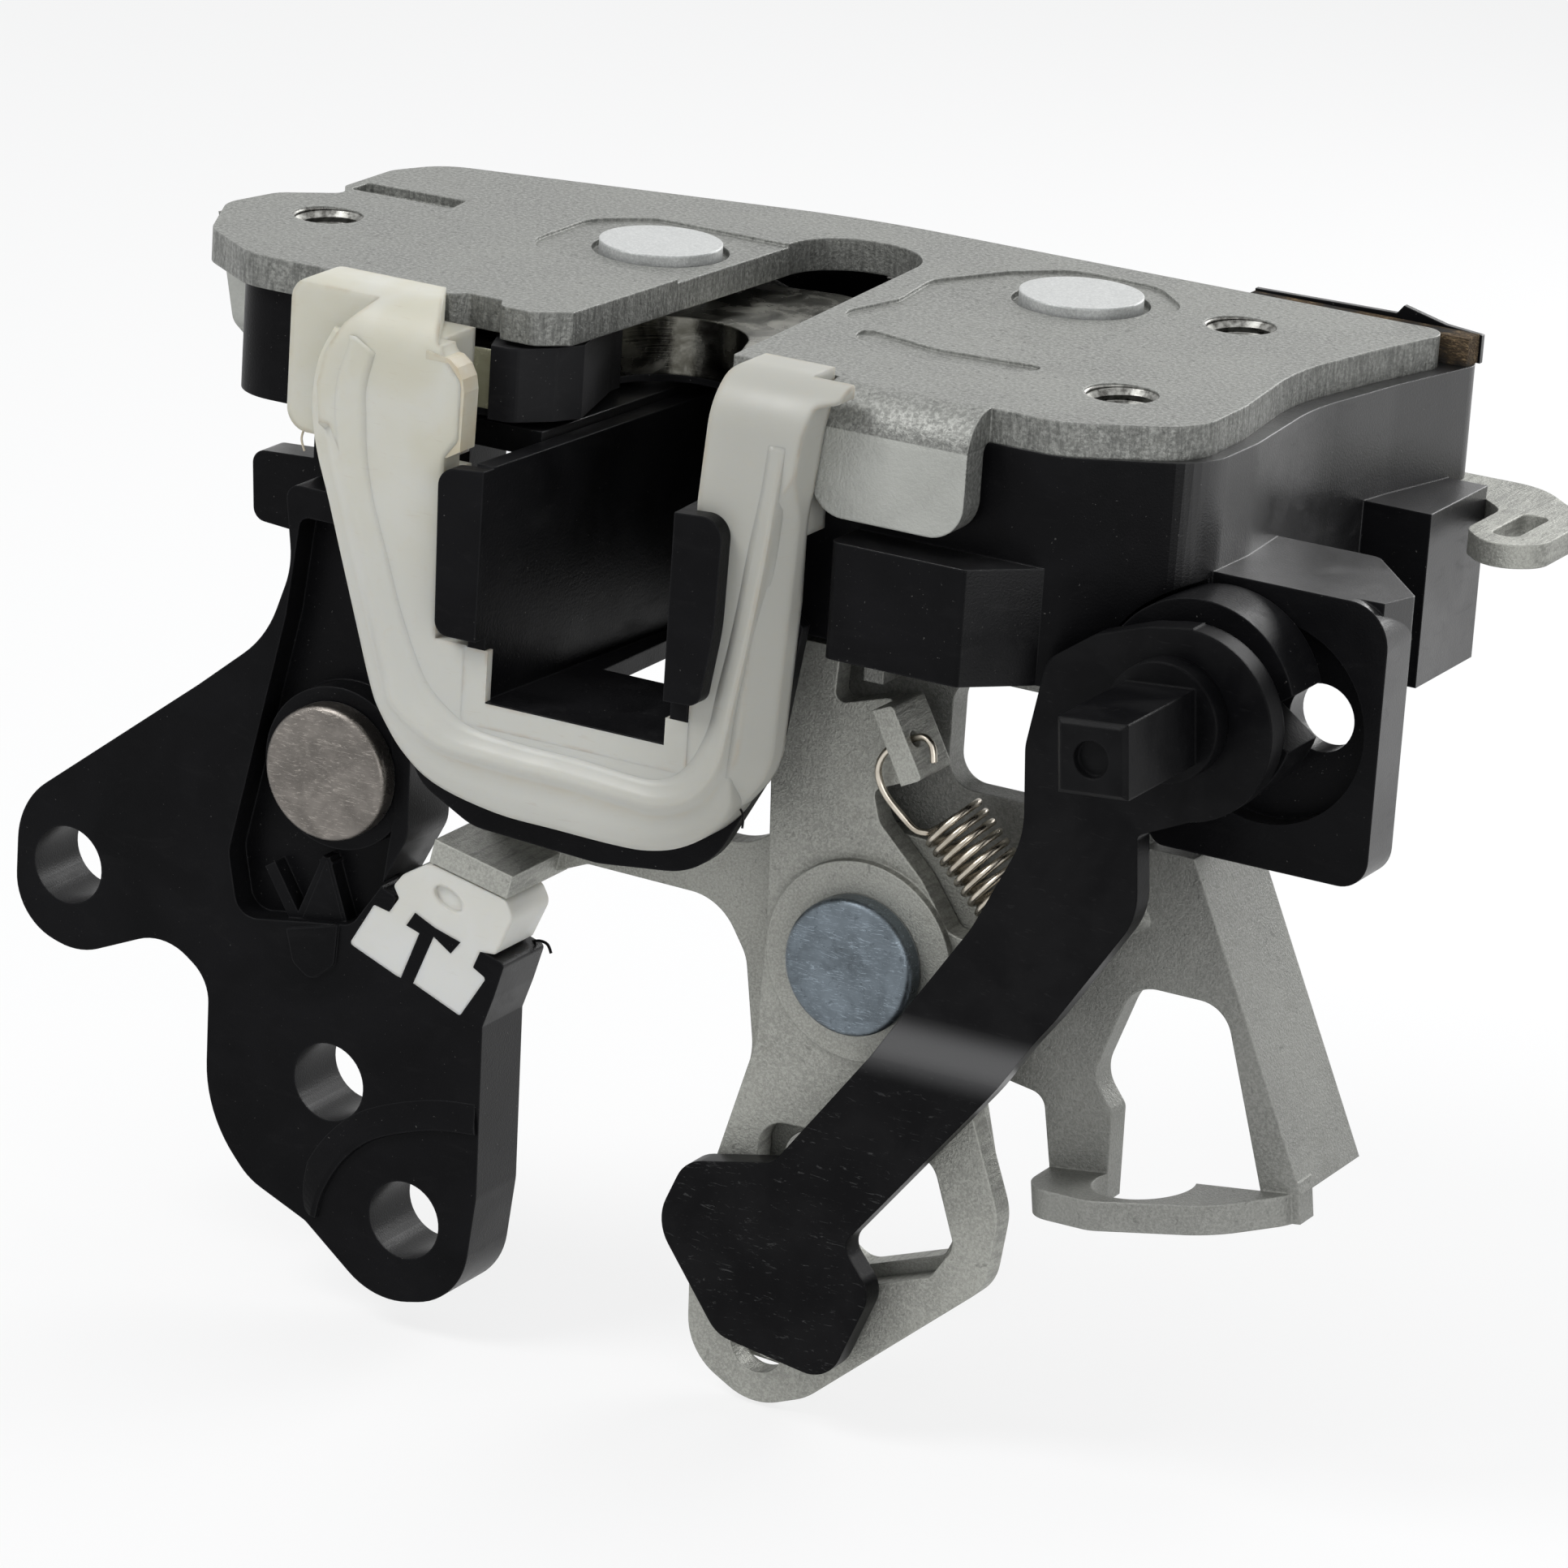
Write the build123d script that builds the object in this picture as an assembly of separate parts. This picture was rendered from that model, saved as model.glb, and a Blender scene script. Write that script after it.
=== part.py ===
"""Side door latch: face plate with a striker mouth, fork and pawl, and the levers that work it.

Millimetres. The outlines are drawn from the fork's axis: X along the front of the face plate, Y away
from the mouth, Z out of the face plate, whose outer face is Z = 0. Each piece is moved once, when it is
written, so that the row's origin is the left mounting thread at that face.
"""
import os
from math import atan2, cos, degrees, radians, sin

from build123d import *

# Datum and mounting threads
FORK_FROM_THREAD = (26.4, 10.3)      # fork axis, seen from the left thread
THREAD_R = 3.0
LEFT_THREAD = (-FORK_FROM_THREAD[0], -FORK_FROM_THREAD[1])
BACK_THREAD = (48.8, 10.6)
FRONT_THREAD = (50.9, -15.4)

# Cutters
CUT_FRONT = -40                      # in front of every piece
CUT_LONG = 200                       # longer than every piece

# Face plate
PLATE_T = 2.8
BEND_IN = 0.8                        # inside radius of its bends
FRONT_EDGE = -25.5
NOTCH_EDGE = -24.2                   # front edge between the guard and the lug
LUG_EDGE = -25.9                     # front of the lug beside the slot
EMBOSS = 0.3                         # depth of the pressed fields round the rivets
TAB_LEFT = 31.4
TAB_RIGHT = 45.0
TAB_FACE = -30.0                     # front of the bent tab
TAB_BOTTOM = -10.3
SLOT_X = 13.6                        # line on which the striker comes in
SLOT_R = 6.0
SLOT_END = 8.4                       # centre of the slot's round end
SLOT_MOUTH = 16.3                    # width at the front edge

# Pivots of the fork and the pawl
PAWL_AXIS = (34.8, 9.3)
PIN_R = 4.5
PIN_HEAD_R = 5.2
WALL_RING = 0.6                      # width of the ring cut round each closed head
HEAD_SINK = 0.9                      # depth of the ring cut round each closed head
PIN_HEAD = 0.5                       # height of a closed rivet head over the plate
RUN = 0.06                           # radial clearance of a running fit
GAP = 0.3                            # space between pieces that pass each other

# Fork, drawn as it stands when it is closed
STRIKER_R = 4.75
THROAT_GAP = 0.5                     # striker to the plastic that lines the fork's throat
LINING = 0.9                         # plastic round the fork's front leg
PIN_SEAT_Y = 3.2                     # striker's centre when the latch is shut
FORK_TOP = -3.9
FORK_T = 5.0
FORK_HUB_R = 11.8
FORK_REACH = 26.0
TOOTH_R = 19.8
FORK_SWING = 68.0                    # from open, the stored pose, to closed
SKIN = 0.6                           # plastic over the fork's faces
PAWL_LIFT = 12.0

# Housing
CHAMBER_FLOOR = -10.2
LEFT_BOTTOM = -12.4
RIGHT_BOTTOM = -21.6
HOUSING_BACK = 24.0
HOUSING_FRONT = -26.4
RIGHT_WALL = 61.5
LEFT_WALL = -27.5
BAR_FRONT = -31.0
BAR_TOP = -12.0
BAR_LEFT = 34.0
BAR_RIGHT = 46.0
BOX_SIDE = 68.0
BOX_BACK = 20.0
PULL_CLEAR = 1.4                     # pull lever to the box that it goes round
BOX_BOTTOM = -26.8
WING_FRONT = -18.0
WING_T = 4.5
WING_SIDE = 76.7
WING_TOP = -12.0
WING_BOTTOM = -35.3
WING_RECESS = (67.0, -23.2, 8.4)     # X, Z and radius of the sunk disc in its face
WING_HOLE = (70.8, -22.6, 2.8)
PULL_TOP = -13.2                     # upper face of the pull lever
PULL_T = 2.0

# Mouth liner and striker guard
MOUTH_LEFT = 5.3
MOUTH_RIGHT = 22.0
MOUTH_TOP = -10.9
MOUTH_FLOOR = -30.6
LINER_WALL = 1.6
GUARD_FRONT = -34.0
GUARD_BACK = -29.6
GUARD_TOP = 0.8
LOBE_BACK = -31.6                    # back of the lobe that hangs beside the mouth
HOOK_X = -0.9                        # right side of the left hook, at its front
GUARD_CROWN = 4.5                    # rounding over the top front edge
BLOCK_FRONT = -31.5
SKIRT_T = 1.2
CLIP_T = 1.5
BEVEL_T = 2.5                        # depth of the slope round the guard's front
BEVEL_LEAN = 38.0

# Levers on the front: planes of their front faces, and thicknesses
ROD_AXIS = (-12.2, -41.5)
ROD_FRONT = -28.0
ROD_T = 6.5
RELEASE_AXIS = (35.4, -48.9)
RELEASE_FRONT = -23.0
RELEASE_T = 2.2
RING_H = 0.8                         # raised ring round its rivet
SPRING_TAB_FRONT = -26.0
TRANSFER_FRONT = -20.5
TRANSFER_T = 2.1
SMALL_HOLE = (28.1, -84.4)           # X, Z of the small hole through the transfer and release levers
BRACKET_FRONT = -18.0
BRACKET_T = 2.5
SCREW_X = (32.0, 52.0)
SCREW_Y = -8.0
SCREW_R = 2.1
LOCK_AXIS = (63.5, -21.0)
LOCK_FRONT = -28.3
LOCK_T = 2.2
LOCK_SET = 2.0                       # step back of the lock lever's foot
ROD_PIN_R = 4.0
ROD_HOLE_R = 3.4
HEAD_R = 5.8                         # big rivet heads in front
HEAD_T = 2.0
HUB_R = 4.9
HUB_T = 2.0
HEAD_DISC_R = 7.8                    # round head of the lock lever
COLLAR_R = 8.5                       # notched disc behind the lock lever
COLLAR_FRONT = -24.0
COLLAR_CORE_R = 6.0
COLLAR_GAP = 0.5                     # from its back to the wing
SQUARE = 6.0
SQUARE_TIP = -42.2
BUMPER_BACK = -22.1
BUMPER_GAP = 0.2                     # dome of the bumper to the transfer lever's tab
STOP_X = 33.4                        # side of the stop that the release lever comes to

# Return spring
WIRE_R = 0.3
COIL_R = 2.6
COIL_PITCH = 0.97
COIL_TURNS = 10
COIL_START = (42.2, -22.8, -35.2)    # centre of the first turn, behind the release lever's tab
COIL_END = (52.0, -22.8, -45.0)      # point on the coil's line, at the anchor on the mechanism plate


def area(*corners):
    """Face through corners given as (across, up, corner radius)."""
    points = [corner[:2] for corner in corners]
    return make_face(FilletPolyline(*points, radius=[corner[2] for corner in corners], close=True))


def level(z):
    return Plane((0, 0, z))


def front(y):
    """Plane seen from the front: its own axes are X and Z."""
    return Plane((0, y, 0), x_dir=(1, 0, 0), z_dir=(0, -1, 0))


def slab(face, y, depth):
    """Prism from the front plane y to y + depth."""
    return extrude(front(y) * face, -depth)


def layer(face, top, depth):
    """Prism from the level top down by depth."""
    return extrude(level(top) * face, -depth)


def disc(x, y, r):
    return Pos(x, y) * Circle(r)


def rod_z(x, y, r, top, bottom):
    return layer(disc(x, y, r), top, top - bottom)


def rod_y(x, z, r, y0, y1):
    return slab(disc(x, z, r), y0, y1 - y0)


def block(x0, x1, y0, y1, z0, z1):
    return Pos((x0 + x1) / 2, (y0 + y1) / 2, (z0 + z1) / 2) * Box(x1 - x0, y1 - y0, z1 - z0)


# Face plate

def plate_outline():
    return area(
        (-35.1, -12.5, 4), (-31.2, -20.8, 4), (-24.5, FRONT_EDGE, 5), (-5, FRONT_EDGE, 0.5),
        (-3.9, NOTCH_EDGE, 0.5), (-0.9, NOTCH_EDGE, 0.5), (0, LUG_EDGE, 0.6), (3.2, LUG_EDGE, 1.2),
        (6.4, -23, 0), (20, -26.2, 0), (TAB_LEFT, -26.2, 0),
        (TAB_LEFT, bend_start(), 0), (TAB_RIGHT, bend_start(), 0), (TAB_RIGHT, -26.3, 0),
        (51.5, -26.3, 6), (60.3, -20.5, 6), (60.2, -12, 12), (58.6, 0.5, 25), (60.9, 11.7, 25),
        (63.4, 21, 2), (8.5, 21, 60), (-28.5, 11.8, 5), (-30.8, 7, 3), (-30.8, -0.6, 1.5),
        (-29.4, -2.8, 1.2), (-33.8, -6.6, 2.5))


def bend_start():
    """Line where the front tab leaves the flat of the plate."""
    return TAB_FACE + PLATE_T + BEND_IN


def striker_slot(grow=0.0, mouth=TAB_FACE - 2):
    """The striker's tapered way, seen from above: round at the back, open at the mouth."""
    taper = (SLOT_MOUTH / 2 - SLOT_R) / (SLOT_END - FRONT_EDGE)
    half = SLOT_R + taper * (SLOT_END - mouth) + grow
    end = SLOT_R + grow
    walls = area((SLOT_X - half, mouth, 0), (SLOT_X + half, mouth, 0), (SLOT_X + end, SLOT_END, 0),
                 (SLOT_X - end, SLOT_END, 0))
    return walls + disc(SLOT_X, SLOT_END, end)


def bent_tab():
    """Front tab: the quarter bend and the flap that hangs from it."""
    bend = Pos(0, bend_start(), -PLATE_T - BEND_IN) * Rot(0, 90, 0) * (
        Circle(PLATE_T + BEND_IN) - Circle(BEND_IN))
    ring = extrude(Pos(TAB_LEFT, 0, 0) * bend, TAB_RIGHT - TAB_LEFT)
    quarter = block(TAB_LEFT, TAB_RIGHT, TAB_FACE, bend_start(), -PLATE_T - BEND_IN, 0)
    width = TAB_RIGHT - TAB_LEFT
    height = -PLATE_T - BEND_IN - TAB_BOTTOM
    flap = slab(Pos((TAB_LEFT + TAB_RIGHT) / 2, TAB_BOTTOM + height / 2) * Rectangle(width, height),
                TAB_FACE, PLATE_T)
    corners = flap.edges().filter_by(Axis.Y).group_by(Axis.Z)[0]
    return (ring & quarter) + fillet(corners, 3)


def side_flange():
    """Left edge turned down, leaning outwards, its lower end cut on the slant."""
    start, end = (-34.6, -14.6), (-32.7, -5.8)
    along = Vector(end[0] - start[0], end[1] - start[1], 0).normalized()
    inward = Vector(along.Y, -along.X, 0)
    lean = radians(14)
    plane = Plane((start[0], start[1], 0), x_dir=along, z_dir=inward * cos(lean) + Vector(0, 0, sin(lean)))
    length = Vector(end[0] - start[0], end[1] - start[1], 0).length
    face = area((0, 1, 0), (length, 1, 0), (length, -15.6, 2), (6, -15.2, 2), (2.4, -12.4, 1.5),
                (0, -9.6, 1.5))
    return extrude(plane * face, PLATE_T - 0.2)


def pressed_fields():
    """Sunk fields of the plate's outer face: round each rivet, beside the tab and at the left edge."""
    fork_field = area((-9.4, -8.5, 5), (-9.4, 4.2, 4), (-5.2, 8.4, 3), (SLOT_X - 4, 8.4, 0),
                      (SLOT_X - 4, -8.5, 0))
    pawl_field = area((21.1, -10.8, 3), (23.4, -1.2, 4), (22.4, 6.1, 4), (26, 13.2, 4), (30, 17.6, 4),
                      (38, 17.4, 4), (42.8, 12.4, 5), (42.8, -8, 5))
    crescent = area((25.4, -11.4, 1), (33.3, -13.4, 7), (43.3, -12.2, 1), (41.6, -15.4, 1.6),
                    (33.4, -17.2, 7), (26.6, -15, 1.6))
    fields = layer(fork_field, 1, 1 + EMBOSS) + layer(pawl_field, 1, 1 + EMBOSS)
    fields += layer(crescent, 1, 1 + EMBOSS)
    return fields + layer(area((-29.9, -1.2, 0.5), (-29.9, 1.8, 0.5), (-20.3, 2.2, 0.5), (-19.8, -1.2, 0.5)),
                          1, 1 + HEAD_SINK)


def face_plate():
    plate = layer(plate_outline(), 0, PLATE_T)
    plate -= pressed_fields()
    plate -= layer(striker_slot(), 1, PLATE_T + 2)
    plate += bent_tab()
    plate += side_flange() & block(-60, 0, -40, 40, -30, -EMBOSS)
    for x, y in (LEFT_THREAD, BACK_THREAD, FRONT_THREAD):
        plate -= rod_z(x, y, THREAD_R, 1, -PLATE_T - 1)
    for x, y in ((0, 0), PAWL_AXIS):
        plate -= rod_z(x, y, PIN_HEAD_R, 1, -PLATE_T - 1)
        plate -= rod_z(x, y, PIN_HEAD_R + WALL_RING, 1, -HEAD_SINK)
    return plate


# Fork and pawl

def pivot_pin(x, y, bottom):
    """Rivet of the fork or the pawl, closed over the plate and under the housing."""
    pin = rod_z(x, y, PIN_R, PIN_HEAD, bottom)
    pin += rod_z(x, y, PIN_HEAD_R, PIN_HEAD, -PLATE_T)
    return pin + rod_z(x, y, PIN_HEAD_R, bottom, bottom - 1.5)


def fork_face(grow=0.0, lining=LINING):
    """Fork seen from above in its closed place: hub, front leg, back leg and the pawl's tooth."""
    leg = STRIKER_R + THROAT_GAP + lining
    reach = FORK_REACH + grow
    front_leg = area((-2, -11.5 - grow, 3), (8, -13 - grow, 5), (19, -15.5 - grow, 2.5),
                     (reach - 3.2, -12.4, 2), (reach - 2, -8.4, 1.6), (reach - 3.6, -5, 1.2),
                     (reach - 6.2, PIN_SEAT_Y - leg, 1), (SLOT_X, PIN_SEAT_Y - leg, 0), (4, 3, 0))
    back_leg = area((2, 2, 0), (SLOT_X, PIN_SEAT_Y + leg, 0), (20.8 + grow, PIN_SEAT_Y + leg - 0.4, 1.2),
                    (20.4 + grow, 11.8, 1.4), (8.1, 12.2, 0.6), (3, 10, 0))
    tooth = area((4, 6, 0), (8.1, 12.2, 0), (9.6, 16.9, 1.2), (2, 19.6, 6), (-4.5, 16.5, 5), (-6, 7, 0))
    throat = area((SLOT_X, PIN_SEAT_Y + leg, 0), (30, PIN_SEAT_Y + leg - 2, 0),
                  (30, PIN_SEAT_Y - leg - 2, 0),
                  (SLOT_X, PIN_SEAT_Y - leg, 0)) + disc(SLOT_X, PIN_SEAT_Y, leg)
    return disc(0, 0, FORK_HUB_R + grow) + front_leg + back_leg + tooth - throat


def fork_bolt():
    """Steel fork, turned to its open place."""
    steel = layer(fork_face(), FORK_TOP, FORK_T) - rod_z(0, 0, PIN_R + RUN, 1, -15)
    return Rot(0, 0, -FORK_SWING) * steel


def fork_overmould():
    """Plastic on the fork's lower face, and over the striker's side of the front leg."""
    skin = layer(fork_face(), FORK_TOP - FORK_T, SKIN)
    leg_side = area((11, -10.3, 0), (FORK_REACH + 2, -10.3, 0), (FORK_REACH + 2, 0, 0), (11, 0, 0))
    sleeve = layer(fork_face(LINING, 0) & leg_side, FORK_TOP + SKIN, FORK_T + 2 * SKIN)
    sleeve -= layer(fork_face(), FORK_TOP, FORK_T)
    skin -= rod_z(0, 0, PIN_R + 1, 1, -15)
    return Rot(0, 0, -FORK_SWING) * (skin + sleeve)


def pawl():
    """Strut from its pin to the fork's tooth, drawn engaged and turned back by its lift."""
    x, y = PAWL_AXIS
    strut = area((10.6, 12.8, 0.5), (11.8, 16.4, 1), (20, 17.4, 3), (36, 16.2, 3), (40, 9, 3),
                 (33, 3.2, 3), (26.5, 8.5, 4), (22, 12.7, 3))
    steel = layer(strut + disc(x, y, 6.6), FORK_TOP, FORK_T)
    steel -= rod_z(x, y, PIN_R + RUN, 1, -15)
    return Pos(x, y) * Rot(0, 0, -PAWL_LIFT) * Pos(-x, -y) * steel


def pull_lever():
    """Flat lever under the pawl, out through the back of the housing and round the box to a loop."""
    x, y = PAWL_AXIS
    side, back = BOX_SIDE + PULL_CLEAR + 0.8, BOX_BACK + PULL_CLEAR
    arm = area((x, y - 6.5, 4), (44, 8, 8), (58, back, 5), (side - 3.7, back, 4), (side, back - 3.4, 2.5),
               (side, 11, 2.5), (side + 3.4, 7.6, 3), (side + 7, 10.5, 3), (side + 7, back - 1.4, 5),
               (side, back + 5.2, 6), (55, back + 5, 6), (40, 15, 3), (x, y + 6.5, 4), (x - 6.3, y, 4))
    loop = area((side + 2, 11, 1), (side + 4.4, 11, 1), (side + 4.4, 18.4, 1), (side + 2, 18.4, 1))
    steel = layer(arm + disc(x, y, 6.4), PULL_TOP, PULL_T) - layer(loop, PULL_TOP + 1, PULL_T + 2)
    return steel - rod_z(x, y, PIN_R + RUN, 1, -20)


# Housing and what is fixed in it

def housing_outline():
    return area(
        (LEFT_WALL, -24.6, 5), (MOUTH_RIGHT + LINER_WALL + 1, -24.6, 0),
        (MOUTH_RIGHT + LINER_WALL + 1, HOUSING_FRONT, 0),
        (51.5, HOUSING_FRONT, 6), (RIGHT_WALL - 0.2, -20.5, 6), (RIGHT_WALL, -12, 12), (60.4, 0.5, 25),
        (RIGHT_WALL + 1, 12, 20), (65.4, HOUSING_BACK, 2), (-2, HOUSING_BACK, 12), (LEFT_WALL, 14.5, 5))


def chamber(top, depth):
    """Room in which the fork and the pawl swing."""
    leg_room = disc(0, 0, FORK_REACH + 1.2) & area((-8, -40, 0), (40, -40, 0), (40, 2, 0), (-8, 2, 0))
    round_room = disc(0, 0, TOOTH_R + 0.9) + leg_room
    round_room += disc(0, 0, FORK_REACH - 1.4) & area((2, 0, 0), (40, 0, 0), (40, 15, 0), (2, 15, 0))
    round_room &= area((-14.5, -40, 0), (40, -40, 0), (40, 40, 0), (-14.5, 40, 0))
    front_cut = area((-40, -40, 0), (60, -40, 0), (60, -22.4, 0), (-40, -22.4, 0))
    pawl_room = area((-6, 14, 3), (-4, 21.8, 3), (38, 21.8, 4), (43.5, 16, 4), (43.5, 0.5, 4), (22, 0.5, 0),
                     (0, 0, 0))
    return layer((round_room - front_cut) + pawl_room, top, depth)


def wing():
    """Block on the right that carries the lock shaft, with a web back to the wall."""
    face = area((57.5, WING_TOP, 0), (WING_SIDE, WING_TOP, 3.5), (WING_SIDE, WING_BOTTOM, 2.5),
                (57.5, WING_BOTTOM, 1.5))
    body = slab(face, WING_FRONT, WING_T)
    web = layer(area((57.5, WING_FRONT, 0), (WING_SIDE - 1, WING_FRONT + 1, 0),
                     (WING_SIDE, WING_FRONT + WING_T, 0.4), (69.9, -5.4, 1.5), (57.5, -5.4, 0)), WING_TOP, 3)
    recess = rod_y(*WING_RECESS, WING_FRONT - 1, WING_FRONT + 2)
    hole = rod_y(*WING_HOLE, WING_FRONT - 1, WING_FRONT + WING_T + 1)
    return body + web - recess - hole


def latch_housing():
    outline = housing_outline()
    body = layer(outline, -PLATE_T, -PLATE_T - LEFT_BOTTOM)
    right = area((MOUTH_RIGHT + LINER_WALL + 1, -40, 0), (80, -40, 0), (80, 40, 0),
                 (MOUTH_RIGHT + LINER_WALL + 1, 40, 0))
    body += layer(outline & right, LEFT_BOTTOM, LEFT_BOTTOM - RIGHT_BOTTOM)
    bar = area((BAR_LEFT, BAR_FRONT, 0.8), (BAR_RIGHT, BAR_FRONT, 0.6), (BAR_RIGHT + 5, -26, 0),
               (BAR_RIGHT + 5, -24, 0),
               (BAR_LEFT, -24, 0))
    body += layer(bar, BAR_TOP, BAR_TOP - RIGHT_BOTTOM)
    body += block(58, BOX_SIDE, 8.8, BOX_BACK, BOX_BOTTOM, BAR_TOP)
    body += wing()
    # Rooms: the fork and pawl chamber, the lever room under it, the striker's way
    body -= chamber(-PLATE_T + 1, -PLATE_T + 1 - CHAMBER_FLOOR)
    body -= block(-8.5, 25, -45, -15, CHAMBER_FLOOR, 2)
    lever_room = area((26.8, 1, 3), (44, 1, 3), (58, 14.5, 3), (58, 19.9, 0), (90, 19.9, 0), (90, 50, 0),
                      (50, 50, 0),
                      (36, 21.5, 3), (26.8, 17, 3))
    body -= layer(lever_room, PULL_TOP + 0.7, PULL_T + 1.4)
    body -= layer(striker_slot(LINER_WALL + 0.2, GUARD_FRONT), 0, 60)
    # Seats of the plate's tab and of the pins
    body -= block(TAB_LEFT - 0.3, TAB_RIGHT + 0.3, TAB_FACE - 1, TAB_FACE + PLATE_T + 0.6, TAB_BOTTOM - 0.4,
                  1)
    for x, y in ((0, 0), PAWL_AXIS):
        body -= rod_z(x, y, PIN_R, 1, -60)
    for x, y in (LEFT_THREAD, BACK_THREAD, FRONT_THREAD):
        body -= rod_z(x, y, THREAD_R + 0.8, 1, -10)
    x, z = LOCK_AXIS
    body -= rod_y(x, z, HUB_R - 1 + RUN, -30, -5)
    body -= rod_y(x, z, COLLAR_R + GAP, -50, WING_FRONT - COLLAR_GAP)
    return body + rod_leg()


def rod_leg():
    """Leg down behind the rod lever, with the ear on its left, that holds the lever's pin."""
    x, z = ROD_AXIS
    back = ROD_FRONT + ROD_T + GAP
    leg = area((-16, LEFT_BOTTOM + 2, 0), (-5, LEFT_BOTTOM + 2, 0), (-5.5, z, 5), (x + 2, z - 6.5, 5),
               (x - 4.5, z - 5, 4),
               (-16.6, -24.6, 2), (-25.6, -24, 1.2), (-26, -18, 1.2), (-16, -17.4, 0))
    body = slab(leg, back, 3.2)
    body += block(-20, -5, back, back + 6, LEFT_BOTTOM - 6, LEFT_BOTTOM + 0.5)
    return body - rod_y(x, z, ROD_PIN_R, back - 1, back + 8)


def mouth_liner():
    """Channel the striker runs in, its skirt behind the guard and the two clips in front of it."""
    shell = layer(striker_slot(LINER_WALL, GUARD_FRONT), MOUTH_TOP, MOUTH_TOP - MOUTH_FLOOR + LINER_WALL)
    skirt = area((-4.6, -39.6, 4), (2, -43, 5), (14, -43.6, 8), (24, -42.4, 7), (29.6, -32, 10),
                 (31.4, -20, 0),
                 (24, -14, 0), (3.6, -14, 0), (0, -26, 0), (-2, -26, 0))
    shell += slab(skirt, GUARD_BACK, SKIRT_T)
    clip_front = GUARD_FRONT - CLIP_T
    left_clip = area((6, -10.9, 0), (6, -25.3, 0), (1, -25.3, 1.2), (0.6, -11.4, 1.6))
    right_clip = area((21, -11, 0.6), (26.8, -10.6, 1.8), (26.6, -20, 20), (25.6, -26.4, 1.2),
                      (21, -26.6, 1.2))
    shell += slab(left_clip, clip_front, CLIP_T)
    shell += slab(right_clip, clip_front, CLIP_T)
    shell -= layer(striker_slot(0, GUARD_FRONT - 5), 0, -MOUTH_FLOOR)
    return shell - block(SLOT_X - 5.5, SLOT_X + 5, -20, 6, MOUTH_FLOOR - 5, MOUTH_FLOOR + 1)


def guard_outline():
    """Front view of the guard: left hook and block, apron round the mouth, right hook."""
    return area(
        (-16.4, GUARD_TOP, 2), (-16.4, -12.2, 2), (-12, -12.2, 0.5), (-8.4, -19, 12), (-0.6, -36.2, 5),
        (4, -38.6, 6), (24.6, -39.4, 7), (30.4, -32, 7), (31.6, -10.8, 0), (32.5, -3.3, 0.6), (33, -1, 0.4),
        (34.9, -0.4, 0.3), (34.9, GUARD_TOP, 0.3), (24.4, GUARD_TOP, 0.8),
        (MOUTH_RIGHT + LINER_WALL, -10, 0.5), (MOUTH_RIGHT + LINER_WALL, MOUTH_FLOOR - LINER_WALL, 0.4),
        (MOUTH_LEFT - LINER_WALL, MOUTH_FLOOR - LINER_WALL, 0.4), (MOUTH_LEFT - LINER_WALL, -26.2, 0),
        (0.2, -26.2, 0), (0.2, -11, 0.8), (1.4, -9.4, 1), (1.4, -4.6, 1.2), (-0.6, -2.4, 1),
        (HOOK_X, -1.2, 0.3), (HOOK_X, GUARD_TOP, 0.4))


def guard_slope():
    """What is left inside the slope round the guard's front, taken from its outline without the mouth."""
    rim = area((-16, 10, 0), (-13.5, -12.2, 0), (-12, -12.2, 0), (-8.4, -19, 12), (-0.6, -36.2, 5),
               (4, -38.6, 6), (24.6, -39.4, 7), (30.4, -32, 7), (31.8, -10.8, 0), (38, -0.4, 0), (38, 10, 0))
    sloped = extrude(front(GUARD_FRONT + BEVEL_T) * rim, BEVEL_T, taper=BEVEL_LEAN)
    return sloped + block(-60, 80, GUARD_FRONT + BEVEL_T, 0, -80, 20)


def striker_guard():
    """White bezel round the mouth, hooked over the plate's edge on both sides of the slot."""
    body = slab(guard_outline(), GUARD_FRONT, HOUSING_FRONT - GAP - GUARD_FRONT) & guard_slope()
    way = striker_slot(LINER_WALL + 0.1, GUARD_FRONT - 4)
    body -= layer(way, MOUTH_TOP, MOUTH_TOP - MOUTH_FLOOR + LINER_WALL + 0.1)
    # The low part is thin; only the block and the right hook reach back to the plate's edge
    body -= block(-40, 60, GUARD_BACK, -20, -60, -12.4)
    body -= block(TAB_LEFT - 0.2, 60, TAB_FACE - 0.2, -20, -60, 5)
    body -= block(-1.8, 4, LOBE_BACK, -20, -12.4, -2)
    left_of_rim = area((-30, 5, 0), (-6, 5, 0), (-8.1, 0.2, 0), (-10, -1.7, 0), (-11.5, -4.3, 0),
                       (-12.3, -7.8, 0), (-11.8, -12.3, 0), (-30, -12.3, 0))
    body -= slab(left_of_rim, GUARD_FRONT - 1, BLOCK_FRONT - GUARD_FRONT + 1)
    hook_side = area((HOOK_X, GUARD_FRONT, 0), (8, GUARD_FRONT, 0), (8, -20, 0), (-8.3, -20, 0))
    body -= layer(hook_side, GUARD_TOP + 1, GUARD_TOP + 3)
    # Both hooks are rounded over their top front edge
    centre_y, centre_z = GUARD_FRONT + GUARD_CROWN, GUARD_TOP - GUARD_CROWN
    corner = block(-40, 60, GUARD_FRONT - 1, centre_y, centre_z, GUARD_TOP + 1)
    return body - (corner - Pos(0, centre_y, centre_z) * Rot(0, 90, 0) * Cylinder(GUARD_CROWN, CUT_LONG))


def striker_bumper():
    """Rubber pad at the back end of the striker's way."""
    pad = striker_slot() & area((-40, SLOT_END + 2, 0), (60, SLOT_END + 2, 0), (60, 40, 0), (-40, 40, 0))
    return layer(pad, -13, 13)


def gasket_strip():
    """Foam strip on the back right edge, between the plate and the housing's rim."""
    return block(44, 64.6, 21.2, 23.4, -PLATE_T, -0.4)


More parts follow.
